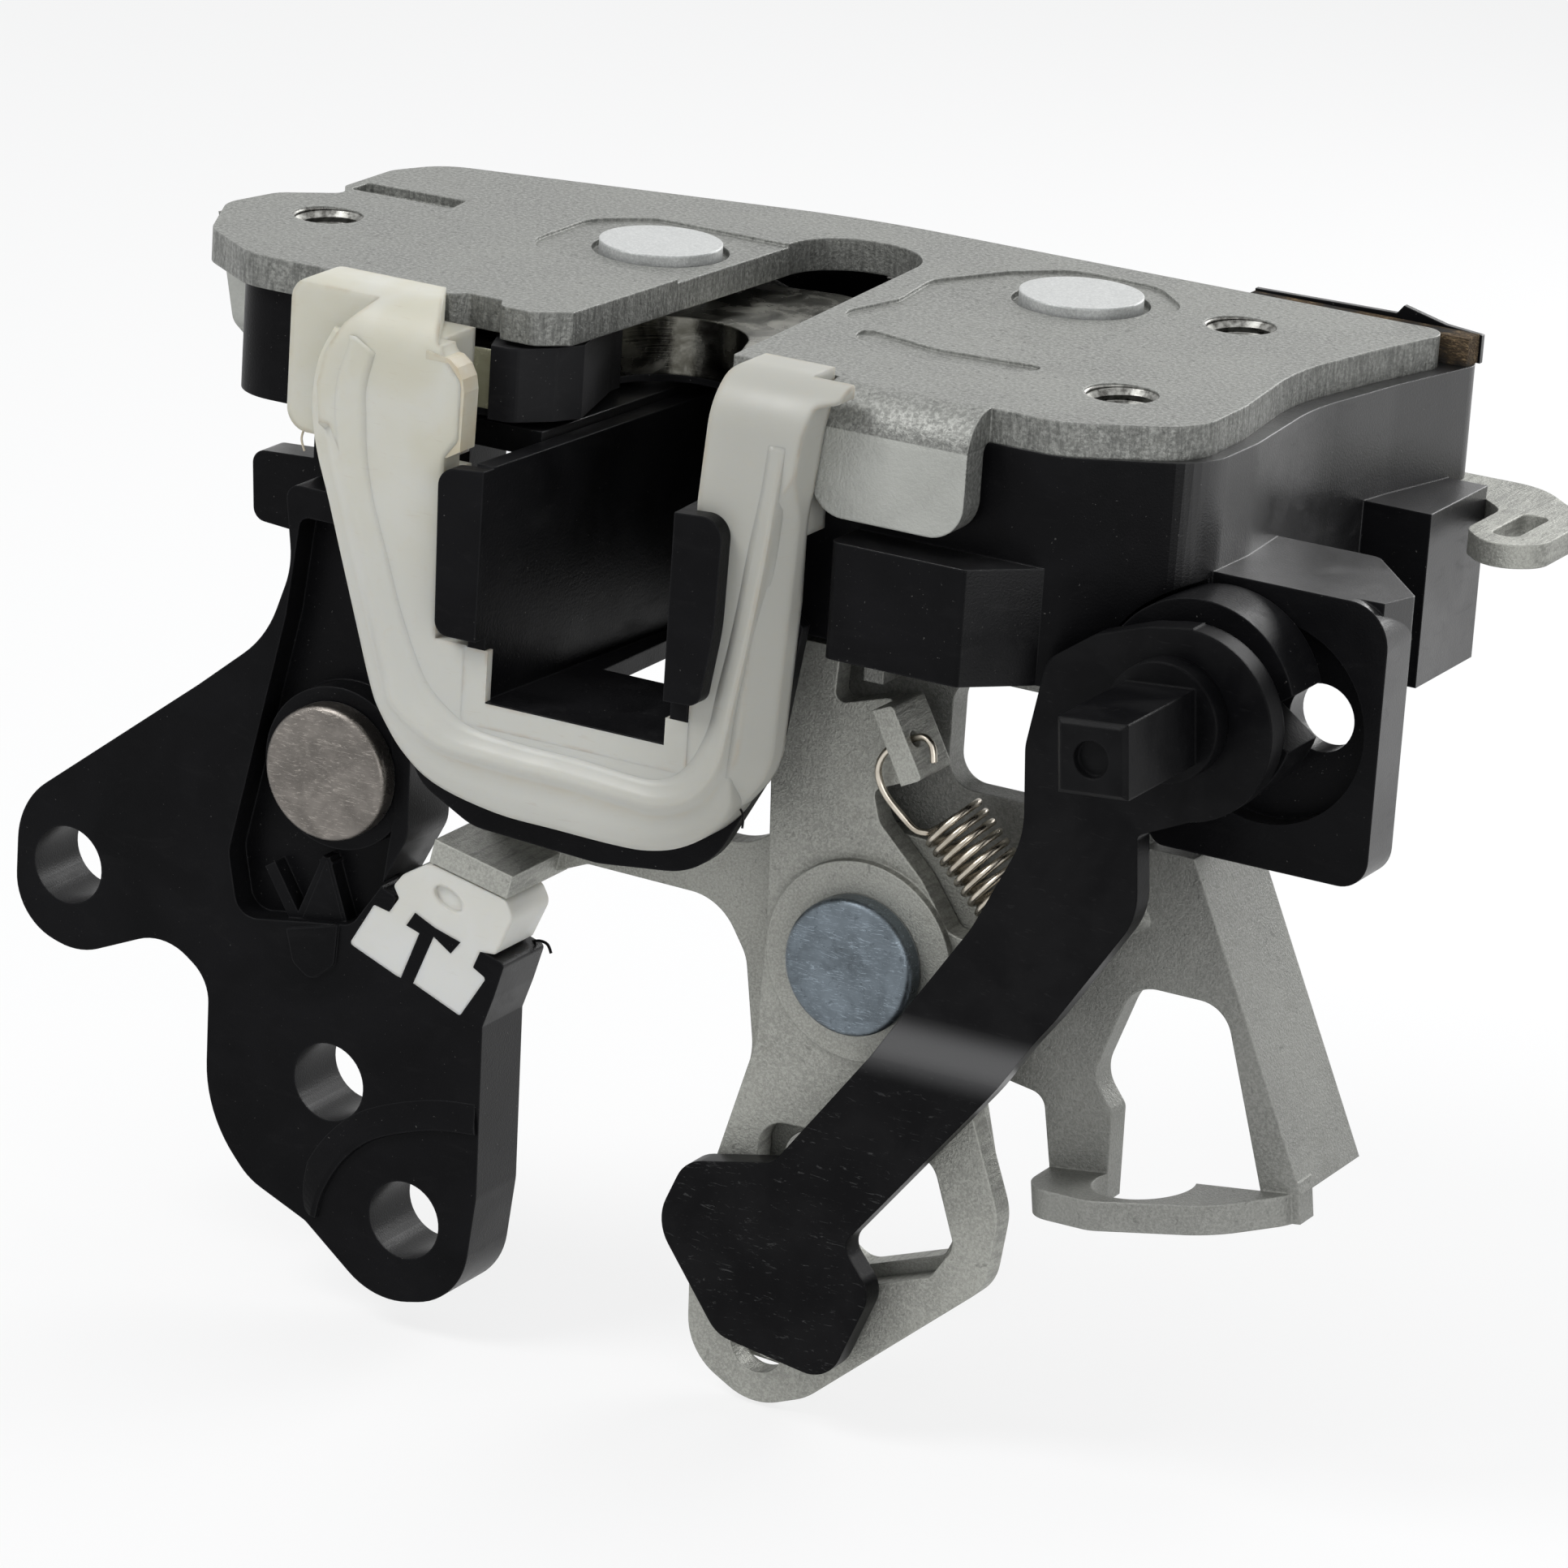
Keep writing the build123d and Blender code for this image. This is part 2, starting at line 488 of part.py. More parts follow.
def mechanism_plate():
    """Steel bracket under the housing: pivot for the levers, window, and the cable flange with keyhole."""
    x, z = RELEASE_AXIS
    top = RIGHT_BOTTOM
    face = area((25.6, top, 1), (57.2, top, 1), (57.2, WING_BOTTOM - 0.5, 0), (61.8, WING_BOTTOM - 0.5, 0.5),
                (73.6, -61.6, 1), (51.2, -64.6, 0.5), (50.2, -58.6, 1.5), (44, -57.6, 6), (x, -59, 6),
                (27.5, -56, 5))
    plate = slab(face, BRACKET_FRONT, BRACKET_T)
    window = area((39.4, -25, 2.4), (50.5, -25, 2.4), (50.5, -34.4, 2.4), (39.4, -34.4, 2.4))
    opening = area((57.4, -47.4, 3), (65.6, -47.4, 3), (70, -62, 0), (70, -75, 0), (56.6, -75, 0),
                   (56.4, -58.6, 1), (54.4, -56, 3))
    flange = block(26.5, 57.2, BRACKET_FRONT, 2, top - BRACKET_T, top)
    plate += flange
    plate -= slab(window, BRACKET_FRONT - 1, BRACKET_T + 2)
    # Side flange, square to the slanting right edge
    run, drop = 73.6 - 61.8, -61.6 - (WING_BOTTOM - 0.5)
    length = (run ** 2 + drop ** 2) ** 0.5
    tilt = degrees(atan2(run, -drop))
    side = Pos(61.8, 0, WING_BOTTOM - 0.5) * Rot(0, -tilt, 0) * block(-BRACKET_T, 0, BRACKET_FRONT,
                                                                      BRACKET_FRONT + 11, -length, 0)
    # Keyhole tab, turned forward along the lower edge
    tab_face = area((0, 0, 0), (0, -7.6, 3.5), (7, -9.6, 3), (17, -7.6, 8), (21.6, -3, 4), (22.4, 0, 0))
    rise = degrees(atan2(3.0, 22.4))
    tab = Pos(51.2, BRACKET_FRONT + BRACKET_T, -64.6) * Rot(0, -rise, 0) * layer(tab_face, 0, BRACKET_T)
    tab += Pos(51.2, BRACKET_FRONT + BRACKET_T, -64.6) * Rot(0, -rise, 0) * block(0, 22.4, -BRACKET_T, 0,
                                                                                  -BRACKET_T, 1)
    plate += side + tab
    plate -= slab(opening, BRACKET_FRONT - 0.01, BRACKET_T + 1)
    plate -= rod_z(60.4, BRACKET_FRONT - 1.4, 4.2, -50, -75)
    plate -= rod_y(x, z, ROD_PIN_R, -40, 10)
    for sx in SCREW_X:
        plate -= rod_z(sx, SCREW_Y, SCREW_R, 0, -40)
    plate += block(STOP_X, STOP_X + 1.8, RELEASE_FRONT + 0.6, BRACKET_FRONT, -25.7, top - 1)
    plate += spring_anchor()
    gusset = area((54.2, -37.2, 0.4), (56, -37.6, 0.6), (58.6, -42.1, 0.6), (47.5, -49.1, 1))
    return plate + extrude(front(BRACKET_FRONT) * gusset, 1.2, taper=30)


def spring_anchor():
    """Small tab turned forward behind the lock lever, with the hole that the spring hooks into."""
    x, y, z = COIL_END
    tab = Pos(x, 0, z) * Rot(0, 45, 0) * block(-0.8, 0.8, y - 2, BRACKET_FRONT, -2.6, 2.6)
    return tab - Pos(x, y, z) * Rot(0, 135, 0) * Cylinder(0.8, 6)


def bracket_screws():
    """Two screws through the mechanism plate's flange into the housing."""
    heads = []
    under = RIGHT_BOTTOM - BRACKET_T
    for x in SCREW_X:
        screw = rod_z(x, SCREW_Y, SCREW_R, RIGHT_BOTTOM, under)
        screw += rod_z(x, SCREW_Y, 3.8, under, under - 2.4)
        heads.append(screw)
    return Compound(heads)


def lever_rivet(axis, head_front, shank_end, collar_r):
    """Shouldered rivet along Y with a low domed head."""
    x, z = axis
    head = rod_y(x, z, HEAD_R, head_front, head_front + HEAD_T)
    head = fillet(head.edges().group_by(Axis.Y)[0], 0.6)
    shank = rod_y(x, z, ROD_PIN_R, head_front + HEAD_T, shank_end)
    foot = rod_y(x, z, collar_r, shank_end, shank_end + 1.2)
    return head + shank + foot


# Levers in front

def rod_lever():
    """Black plastic lever with three rod holes, a sunk pivot field and the seat of the bumper."""
    outline = area(
        (-18.4, -18, 1.2), (-17.4, -25, 8), (-19.6, -31.6, 10), (-26, -37, 0), (-43.6, -51, 7),
        (-43.6, -61.6, 5.5),
        (-37, -63.4, 6), (-28.4, -59.6, 5), (-23.8, -62.8, 4), (-23.6, -74.6, 12), (-19, -79.6, 6),
        (-13.2, -82, 2),
        (-6, -87.6, 7), (2.4, -85.6, 6), (3.4, -76, 4), (3.1, -60.8, 0), (4, -58.1, 0), (4.9, -54.9, 0.4),
        (2.5, -54.2, 0.2), (0.6, -53.5, 0), (-3.9, -52, 0), (-6.3, -52.8, 0.1), (-5.8, -51.4, 0.3),
        (-7.4, -50.8, 0.3), (-5, -46, 3), (-5.2, -36, 3), (-9, -24, 6), (-13, -18, 1))
    body = slab(outline, ROD_FRONT, ROD_T)
    pocket = area((-16.8, -20.6, 1), (-17.8, -29.4, 6), (-22.4, -51, 3), (-21.2, -56.6, 2), (-10, -54.8, 2),
                  (-7.2, -50.6, 2),
                  (-6.4, -44, 3), (-7.6, -32, 3), (-12.6, -20.6, 1))
    body -= slab(pocket, ROD_FRONT - 1, 3.6)
    x, z = ROD_AXIS
    body += rod_y(x, z, 7.0, ROD_FRONT + 0.1, ROD_FRONT + ROD_T)
    for rib in ((-18.6, -52, -15.8, -56.4), (-13.4, -50.4, -15.8, -56.4), (-13.4, -50.4, -11.6, -55.2)):
        body += pocket_rib(*rib)
    for hx, hz in ((-38.4, -55.7), (-11.5, -69.1), (-3.5, -79.6)):
        body -= rod_y(hx, hz, ROD_HOLE_R, -40, -10)
    body += slab(area((-16.2, -56.4, 0), (-15.4, -59.2, 1), (-13.6, -60.4, 1), (-11.4, -58.6, 1),
                      (-11.2, -55, 0)),
                 ROD_FRONT - 0.3, 1)
    body -= slab(bumper_face(), ROD_FRONT - 1, ROD_T + 2)
    return body - rod_y(x, z, ROD_PIN_R + RUN, -40, -10)


def pocket_rib(x0, z0, x1, z1):
    length = ((x1 - x0) ** 2 + (z1 - z0) ** 2) ** 0.5
    turn = degrees(atan2(z1 - z0, x1 - x0))
    rib = Pos((x0 + x1) / 2, (z0 + z1) / 2) * Rot(0, 0, turn) * Rectangle(length + 1, 1.1)
    return slab(rib, ROD_FRONT + 1, ROD_T - 1)


def bumper_face():
    """Front view of the nylon bumper: a dome on two square feet, keyed round the lever's T."""
    outline = area(
        (-7.9, -52.5, 0.2), (-10.1, -56.4, 0.3), (-5.4, -58.2, 0.3), (-3.7, -58.5, 0.3), (0.9, -60.3, 0.3),
        (3.2, -56.5, 0.3), (1.9, -55.8, 0.1), (2.5, -54.3, 0.1), (4, -54.2, 0.3), (5.5, -50.7, 1.2),
        (4.7, -49.3, 0.9), (-2.7, -47.7, 1.6), (-5.2, -49.2, 1), (-6.1, -50.4, 0.4), (-5.5, -51.4, 0.3),
        (-6.4, -52.8, 0.2))
    key = area((-3.9, -52.3, 0), (-4.7, -53.6, 0), (-3.4, -54, 0), (-5.3, -59.2, 0), (-4.1, -59.4, 0),
               (-2, -54, 0), (-0.3, -55.1, 0), (0.6, -53.9, 0), (-1.9, -53.2, 0))
    return outline - key


def nylon_bumper():
    """Bumper pressed into the rod lever, with a shallow oval in its face."""
    body = slab(bumper_face(), ROD_FRONT, BUMPER_BACK - ROD_FRONT)
    oval = Pos(-0.8, -50.4) * Rot(0, 0, -25) * Ellipse(1.5, 0.8)
    return body - slab(oval, ROD_FRONT - 1, 1.4)


def transfer_lever():
    """Bell crank behind the release lever: an arm under the mouth with a tab forward, and a lower arm."""
    x, z = RELEASE_AXIS
    face = area((-2, -45.5, 0.3), (6.5, -41.8, 1), (24, -42.6, 6), (27.4, -38, 3), (42, -38.6, 5),
                (45.4, -46, 5), (44.6, -57, 8), (47.4, -68, 4),
                (46.6, -75, 3), (33, -87, 4), (23.4, -86.4, 4), (20.6, -76, 4), (24.6, -60, 6),
                (23.4, -52, 4), (20.6, -47.6, 5),
                (8, -47.4, 1), (5.2, -48.6, 0.3), (-2.5, -47, 0.3))
    steel = slab(face, TRANSFER_FRONT, TRANSFER_T)
    tab = block(0, 7.7, ROD_FRONT - 0.2, TRANSFER_FRONT + TRANSFER_T, BUMPER_GAP, BUMPER_GAP + TRANSFER_T)
    steel += Pos(-2.7, 0, -47.7) * Rot(0, 12, 0) * tab
    steel -= slab(release_opening(-1.2), CUT_FRONT, 30)
    steel -= rod_y(*SMALL_HOLE, 2.2, CUT_FRONT, 0)
    return steel - rod_y(x, z, ROD_PIN_R + RUN, CUT_FRONT, 0)


def release_opening(grow):
    """D-shaped window of the release lever, its straight side on the left."""
    return area((27 - grow, -64.6 + grow, 2.5), (43 + grow, -64.2 + grow, 2.5), (45.6 + grow, -71.5, 1.6),
                (43.6, -74.6 - grow, 1), (36, -77.4 - grow, 2),
                (27 - grow, -71.5, 2))


def release_lever():
    """Flat lever on the big rivet: raised ring, D window, spring tab turned forward."""
    x, z = RELEASE_AXIS
    face = area((25.4, -23.2, 1), (31.5, -23.2, 0.5), (31.2, -28, 0.8), (36.4, -26.4, 0.6),
                (39.6, -32.4, 0.6),
                (37.6, -33.4, 0.4), (35.3, -34.4, 0.8), (36, -37, 2), (40.2, -41, 3), (43, -44.9, 1),
                (45.2, -45.4, 1.2),
                (45.6, -58, 12), (49.4, -68, 5), (48.6, -74.4, 4), (33, -88, 6), (28, -90, 5.5),
                (21.6, -86.6, 5.5), (21.2, -76, 10), (26.2, -58, 8), (26.4, -46, 8))
    steel = slab(face, RELEASE_FRONT, RELEASE_T)
    steel += rod_y(x, z, 8.5, RELEASE_FRONT - RING_H, RELEASE_FRONT)
    tab = area((36.2, -26.8, 0), (38, -26, 0.4), (41.1, -31.6, 0.4), (39.3, -32.5, 0))
    steel += slab(tab, SPRING_TAB_FRONT, RELEASE_FRONT + RELEASE_T - SPRING_TAB_FRONT)
    steel -= Pos(38.75, COIL_START[1] - 1.8, -29.2) * Rot(0, 62, 0) * Cylinder(0.7, 8)
    steel -= slab(release_opening(0), CUT_FRONT, 30)
    steel -= rod_y(*SMALL_HOLE, 2.5, CUT_FRONT, 0)
    return steel - rod_y(x, z, ROD_PIN_R + RUN, CUT_FRONT, 0)


def lock_lever():
    """Flat lever from the lock shaft to a T-shaped foot, set back by a step under the rivet."""
    x, z = LOCK_AXIS
    face = area((51.1, -26, 4), (51.6, -33.6, 8), (47.6, -42, 10), (41.4, -51.5, 0), (30.2, -66.8, 2),
                (22, -68.6, 3), (19.6, -74.4, 4),
                (26, -83, 3), (36.6, -84.6, 3), (40, -76, 2.5), (37, -72.4, 1.5), (49, -57, 0),
                (55.6, -48, 8), (62, -38, 6),
                (61.4, -31.2, 0.6), (66.6, -28.8, 1), (68.9, -27.7, 1), (67, -21.5, 0), (64.7, -13.6, 0),
                (60.8, -14.2, 3), (56.3, -15.8, 3), (52.4, -18.6, 2.5))
    prism = slab(face + disc(x + 0.9, z - 0.5, HEAD_DISC_R), LOCK_FRONT - 5, 15)
    step_top, step_bottom = -50.4, -55.6
    side = [(LOCK_FRONT, 0), (LOCK_FRONT, step_top), (LOCK_FRONT + LOCK_SET, step_bottom),
            (LOCK_FRONT + LOCK_SET, -100),
            (LOCK_FRONT + LOCK_SET + LOCK_T, -100), (LOCK_FRONT + LOCK_SET + LOCK_T, step_bottom - 0.5),
            (LOCK_FRONT + LOCK_T, step_top - 0.5), (LOCK_FRONT + LOCK_T, 0)]
    sheet = extrude(Plane.YZ * make_face(Polyline(*side, close=True)), 100)
    lever = prism & sheet
    return lever - rod_y(x, z, HUB_R - 1, -40, 0)


def lock_shaft():
    """Round shaft through the wing with a hub in front of the lever and a square end."""
    x, z = LOCK_AXIS
    shaft = rod_y(x, z, HUB_R - 1, LOCK_FRONT, WING_FRONT + WING_T + 1)
    hub = rod_y(x, z, HUB_R, LOCK_FRONT - HUB_T, LOCK_FRONT)
    square = Pos(x, z) * Rot(0, 0, 5) * Rectangle(SQUARE, SQUARE)
    end = slab(square, SQUARE_TIP, LOCK_FRONT - HUB_T - SQUARE_TIP)
    end = chamfer(end.faces().sort_by(Axis.Y)[0].edges(), 0.4)
    end -= rod_y(x, z, 1.5, SQUARE_TIP - 1, SQUARE_TIP + 0.8)
    return shaft + hub + end


def lock_collar():
    """Disc behind the lock lever, with one V notch to the right."""
    x, z = LOCK_AXIS
    core = rod_y(x, z, COLLAR_CORE_R, LOCK_FRONT + LOCK_T, COLLAR_FRONT)
    rim = rod_y(x, z, COLLAR_R, COLLAR_FRONT, WING_FRONT - COLLAR_GAP - GAP)
    notch = area((x + HUB_R, z, 0), (x + 9.5, z + 3.2, 0), (x + 9.5, z - 3.2, 0))
    rim -= slab(notch, COLLAR_FRONT - 1, -COLLAR_FRONT)
    return core + rim - rod_y(x, z, HUB_R - 1, -40, 0)


# Spring

def return_spring():
    """Extension spring from the release lever's tab down to the anchor on the mechanism plate."""
    start, end = Vector(*COIL_START), Vector(*COIL_END)
    base = Plane(start, x_dir=(0, 1, 0), z_dir=(end - start).normalized())
    path = Helix(pitch=COIL_PITCH, height=COIL_PITCH * COIL_TURNS, radius=COIL_R)
    ring = Plane(path @ 0, z_dir=path % 0) * Circle(WIRE_R)
    return base * sweep(ring, path)


PIECES = {
    "face_plate": face_plate, "latch_housing": latch_housing, "mouth_liner": mouth_liner,
    "striker_guard": striker_guard, "striker_bumper": striker_bumper, "gasket_strip": gasket_strip,
    "mechanism_plate": mechanism_plate, "bracket_screws": bracket_screws,
    "fork_rivet": lambda: pivot_pin(0, 0, LEFT_BOTTOM),
    "pawl_rivet": lambda: pivot_pin(*PAWL_AXIS, RIGHT_BOTTOM),
    "rod_lever_rivet": lambda: lever_rivet(ROD_AXIS, ROD_FRONT - HEAD_T - 0.1, ROD_FRONT + ROD_T + GAP + 3.2,
                                           5),
    "release_lever_rivet": lambda: lever_rivet(RELEASE_AXIS, RELEASE_FRONT - RING_H - HEAD_T - 0.1,
                                               BRACKET_FRONT + BRACKET_T, 5),
    "fork_bolt": fork_bolt, "fork_overmould": fork_overmould, "pawl": pawl, "pull_lever": pull_lever,
    "rod_lever": rod_lever, "nylon_bumper": nylon_bumper, "transfer_lever": transfer_lever,
    "release_lever": release_lever, "lock_lever": lock_lever, "lock_shaft": lock_shaft,
    "lock_collar": lock_collar, "return_spring": return_spring,
}


def main():
    os.makedirs("parts", exist_ok=True)
    datum = Pos(FORK_FROM_THREAD[0], FORK_FROM_THREAD[1], 0)
    for name, build in PIECES.items():
        export_step(datum * build(), f"parts/{name}.step")


main()
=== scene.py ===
"""Looks of the side door latch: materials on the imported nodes, and the small pieces CAD leaves out."""
import math

import bpy
from mathutils import Matrix, Vector


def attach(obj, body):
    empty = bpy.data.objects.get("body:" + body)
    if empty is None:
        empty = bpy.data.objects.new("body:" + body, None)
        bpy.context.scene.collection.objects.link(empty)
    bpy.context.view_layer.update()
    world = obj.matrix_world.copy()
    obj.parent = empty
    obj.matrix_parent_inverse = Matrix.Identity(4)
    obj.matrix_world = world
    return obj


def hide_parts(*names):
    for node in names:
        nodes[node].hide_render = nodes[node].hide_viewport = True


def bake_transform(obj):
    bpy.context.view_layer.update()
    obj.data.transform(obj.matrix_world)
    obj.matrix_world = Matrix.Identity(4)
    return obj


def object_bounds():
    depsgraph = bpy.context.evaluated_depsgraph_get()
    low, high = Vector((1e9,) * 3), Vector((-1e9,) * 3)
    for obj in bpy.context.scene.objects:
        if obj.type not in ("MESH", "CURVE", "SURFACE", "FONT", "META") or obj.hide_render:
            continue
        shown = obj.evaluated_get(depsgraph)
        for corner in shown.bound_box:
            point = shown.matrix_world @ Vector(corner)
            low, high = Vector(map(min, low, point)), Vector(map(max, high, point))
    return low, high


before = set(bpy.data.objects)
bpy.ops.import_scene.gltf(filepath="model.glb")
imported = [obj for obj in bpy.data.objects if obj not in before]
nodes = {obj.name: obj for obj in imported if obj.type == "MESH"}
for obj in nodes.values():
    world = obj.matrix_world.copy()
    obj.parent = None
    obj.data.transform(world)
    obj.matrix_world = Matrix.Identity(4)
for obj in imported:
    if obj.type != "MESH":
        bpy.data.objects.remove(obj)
cad_box = [list(corner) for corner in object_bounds()]
scene = bpy.context.scene

MM = 0.001
FORK = Vector((26.4, 10.3, 0))          # fork axis in the row frame, mm


def at(x, y, z):
    """A point given from the fork's axis in mm, as metres in the row frame."""
    return (Vector((x, y, z)) + FORK) * MM


# Camera: fitted to the rivet heads, the threads and the plate's edges in the photograph

CAMERA_AT = (299.789, -539.226, 155.263)
AZIMUTH, ELEVATION, ROLL = (math.radians(a) for a in (27.84, 18.11, 3.82))
LENS, SENSOR = 174.2, 36                # mm
NEAREST = 0.01                          # m


def add_camera():
    """Camera at its fitted place, turned by its roll about the line of sight."""
    across = Vector((math.cos(AZIMUTH), math.sin(AZIMUTH), 0))
    up = Vector((-math.sin(AZIMUTH) * math.sin(ELEVATION), math.cos(AZIMUTH) * math.sin(ELEVATION),
                 math.cos(ELEVATION)))
    back = across.cross(up)
    turned_across = math.cos(ROLL) * across + math.sin(ROLL) * up
    turned_up = math.cos(ROLL) * up - math.sin(ROLL) * across
    data = bpy.data.cameras.new("camera")
    data.lens, data.sensor_width, data.clip_start = LENS, SENSOR, NEAREST
    camera = bpy.data.objects.new("camera", data)
    turned = Matrix((turned_across, turned_up, back)).transposed().to_4x4()
    camera.matrix_world = Matrix.Translation(at(*CAMERA_AT)) @ turned
    scene.collection.objects.link(camera)
    scene.camera = camera


# Light, floor and background

LAMPS = (                               # name, place in mm, diameter in m, power in W
    ("key", (-260, -330, 430), 0.30, 2.0),
    ("top", (60, 120, 480), 0.42, 0.9),
    ("fill", (420, -300, 60), 0.34, 0.6),
    ("rim", (140, 420, 170), 0.30, 1.2))
LAMP_AIM = (20, 0, -40)
SKY_COLOUR, SKY_STRENGTH = (0.93, 0.96, 1.0, 1), 0.35
WHITE = (1, 1, 1, 1)
FLOOR_GREY = (0.86, 0.86, 0.86, 1)
FLOOR_GLOW = 0.78                       # share of plain white in the floor that the camera sees
FLOOR_DROP, FLOOR_HALF = 0.0004, 3.0    # m below the part, and m from its middle to its sides


def add_lamp(name, place, size, power):
    data = bpy.data.lights.new(name, "AREA")
    data.shape, data.size, data.energy = "DISK", size, power
    lamp = bpy.data.objects.new(name, data)
    lamp.location = at(*place)
    lamp.rotation_euler = (at(*LAMP_AIM) - lamp.location).to_track_quat("-Z", "Y").to_euler()
    scene.collection.objects.link(lamp)


def seen_rays(tree):
    """1 for what the camera sees, directly or in a mirror or through glass."""
    path = tree.nodes.new("ShaderNodeLightPath")
    total = path.outputs["Is Camera Ray"]
    for name in ("Is Glossy Ray", "Is Transmission Ray"):
        add = tree.nodes.new("ShaderNodeMath")
        add.operation, add.use_clamp = "ADD", True
        tree.links.new(total, add.inputs[0])
        tree.links.new(path.outputs[name], add.inputs[1])
        total = add.outputs[0]
    return total


def fresh_tree(owner, output):
    """The owner's empty node tree, and a mix shader that ends in an output of that kind."""
    owner.use_nodes = True
    tree = owner.node_tree
    tree.nodes.clear()
    out = tree.nodes.new(output)
    mix = tree.nodes.new("ShaderNodeMixShader")
    tree.links.new(mix.outputs[0], out.inputs["Surface"])
    return tree, mix


def light_scene():
    world = bpy.data.worlds.new("studio")
    tree, mix = fresh_tree(world, "ShaderNodeOutputWorld")
    lighting = tree.nodes.new("ShaderNodeBackground")
    lighting.inputs["Color"].default_value = SKY_COLOUR
    lighting.inputs["Strength"].default_value = SKY_STRENGTH
    shown = tree.nodes.new("ShaderNodeBackground")
    shown.inputs["Color"].default_value = WHITE
    tree.links.new(seen_rays(tree), mix.inputs[0])
    tree.links.new(lighting.outputs[0], mix.inputs[1])
    tree.links.new(shown.outputs[0], mix.inputs[2])
    scene.world = world
    for lamp in LAMPS:
        add_lamp(*lamp)


def add_floor():
    low = min(corner[2] for corner in cad_box) - FLOOR_DROP
    corners = ((-1, -1), (1, -1), (1, 1), (-1, 1))
    mesh = bpy.data.meshes.new("floor")
    mesh.from_pydata([(x * FLOOR_HALF, y * FLOOR_HALF, low) for x, y in corners], [], [(0, 1, 2, 3)])
    floor = bpy.data.objects.new("floor", mesh)
    scene.collection.objects.link(floor)
    material = bpy.data.materials.new("floor_white")
    tree, mix = fresh_tree(material, "ShaderNodeOutputMaterial")
    matt = tree.nodes.new("ShaderNodeBsdfDiffuse")
    matt.inputs["Color"].default_value = FLOOR_GREY
    glow = tree.nodes.new("ShaderNodeEmission")
    share = tree.nodes.new("ShaderNodeMath")
    share.operation = "MULTIPLY"
    share.inputs[1].default_value = FLOOR_GLOW
    tree.links.new(seen_rays(tree), share.inputs[0])
    tree.links.new(share.outputs[0], mix.inputs[0])
    tree.links.new(matt.outputs[0], mix.inputs[1])
    tree.links.new(glow.outputs[0], mix.inputs[2])
    mesh.materials.append(material)


# Materials

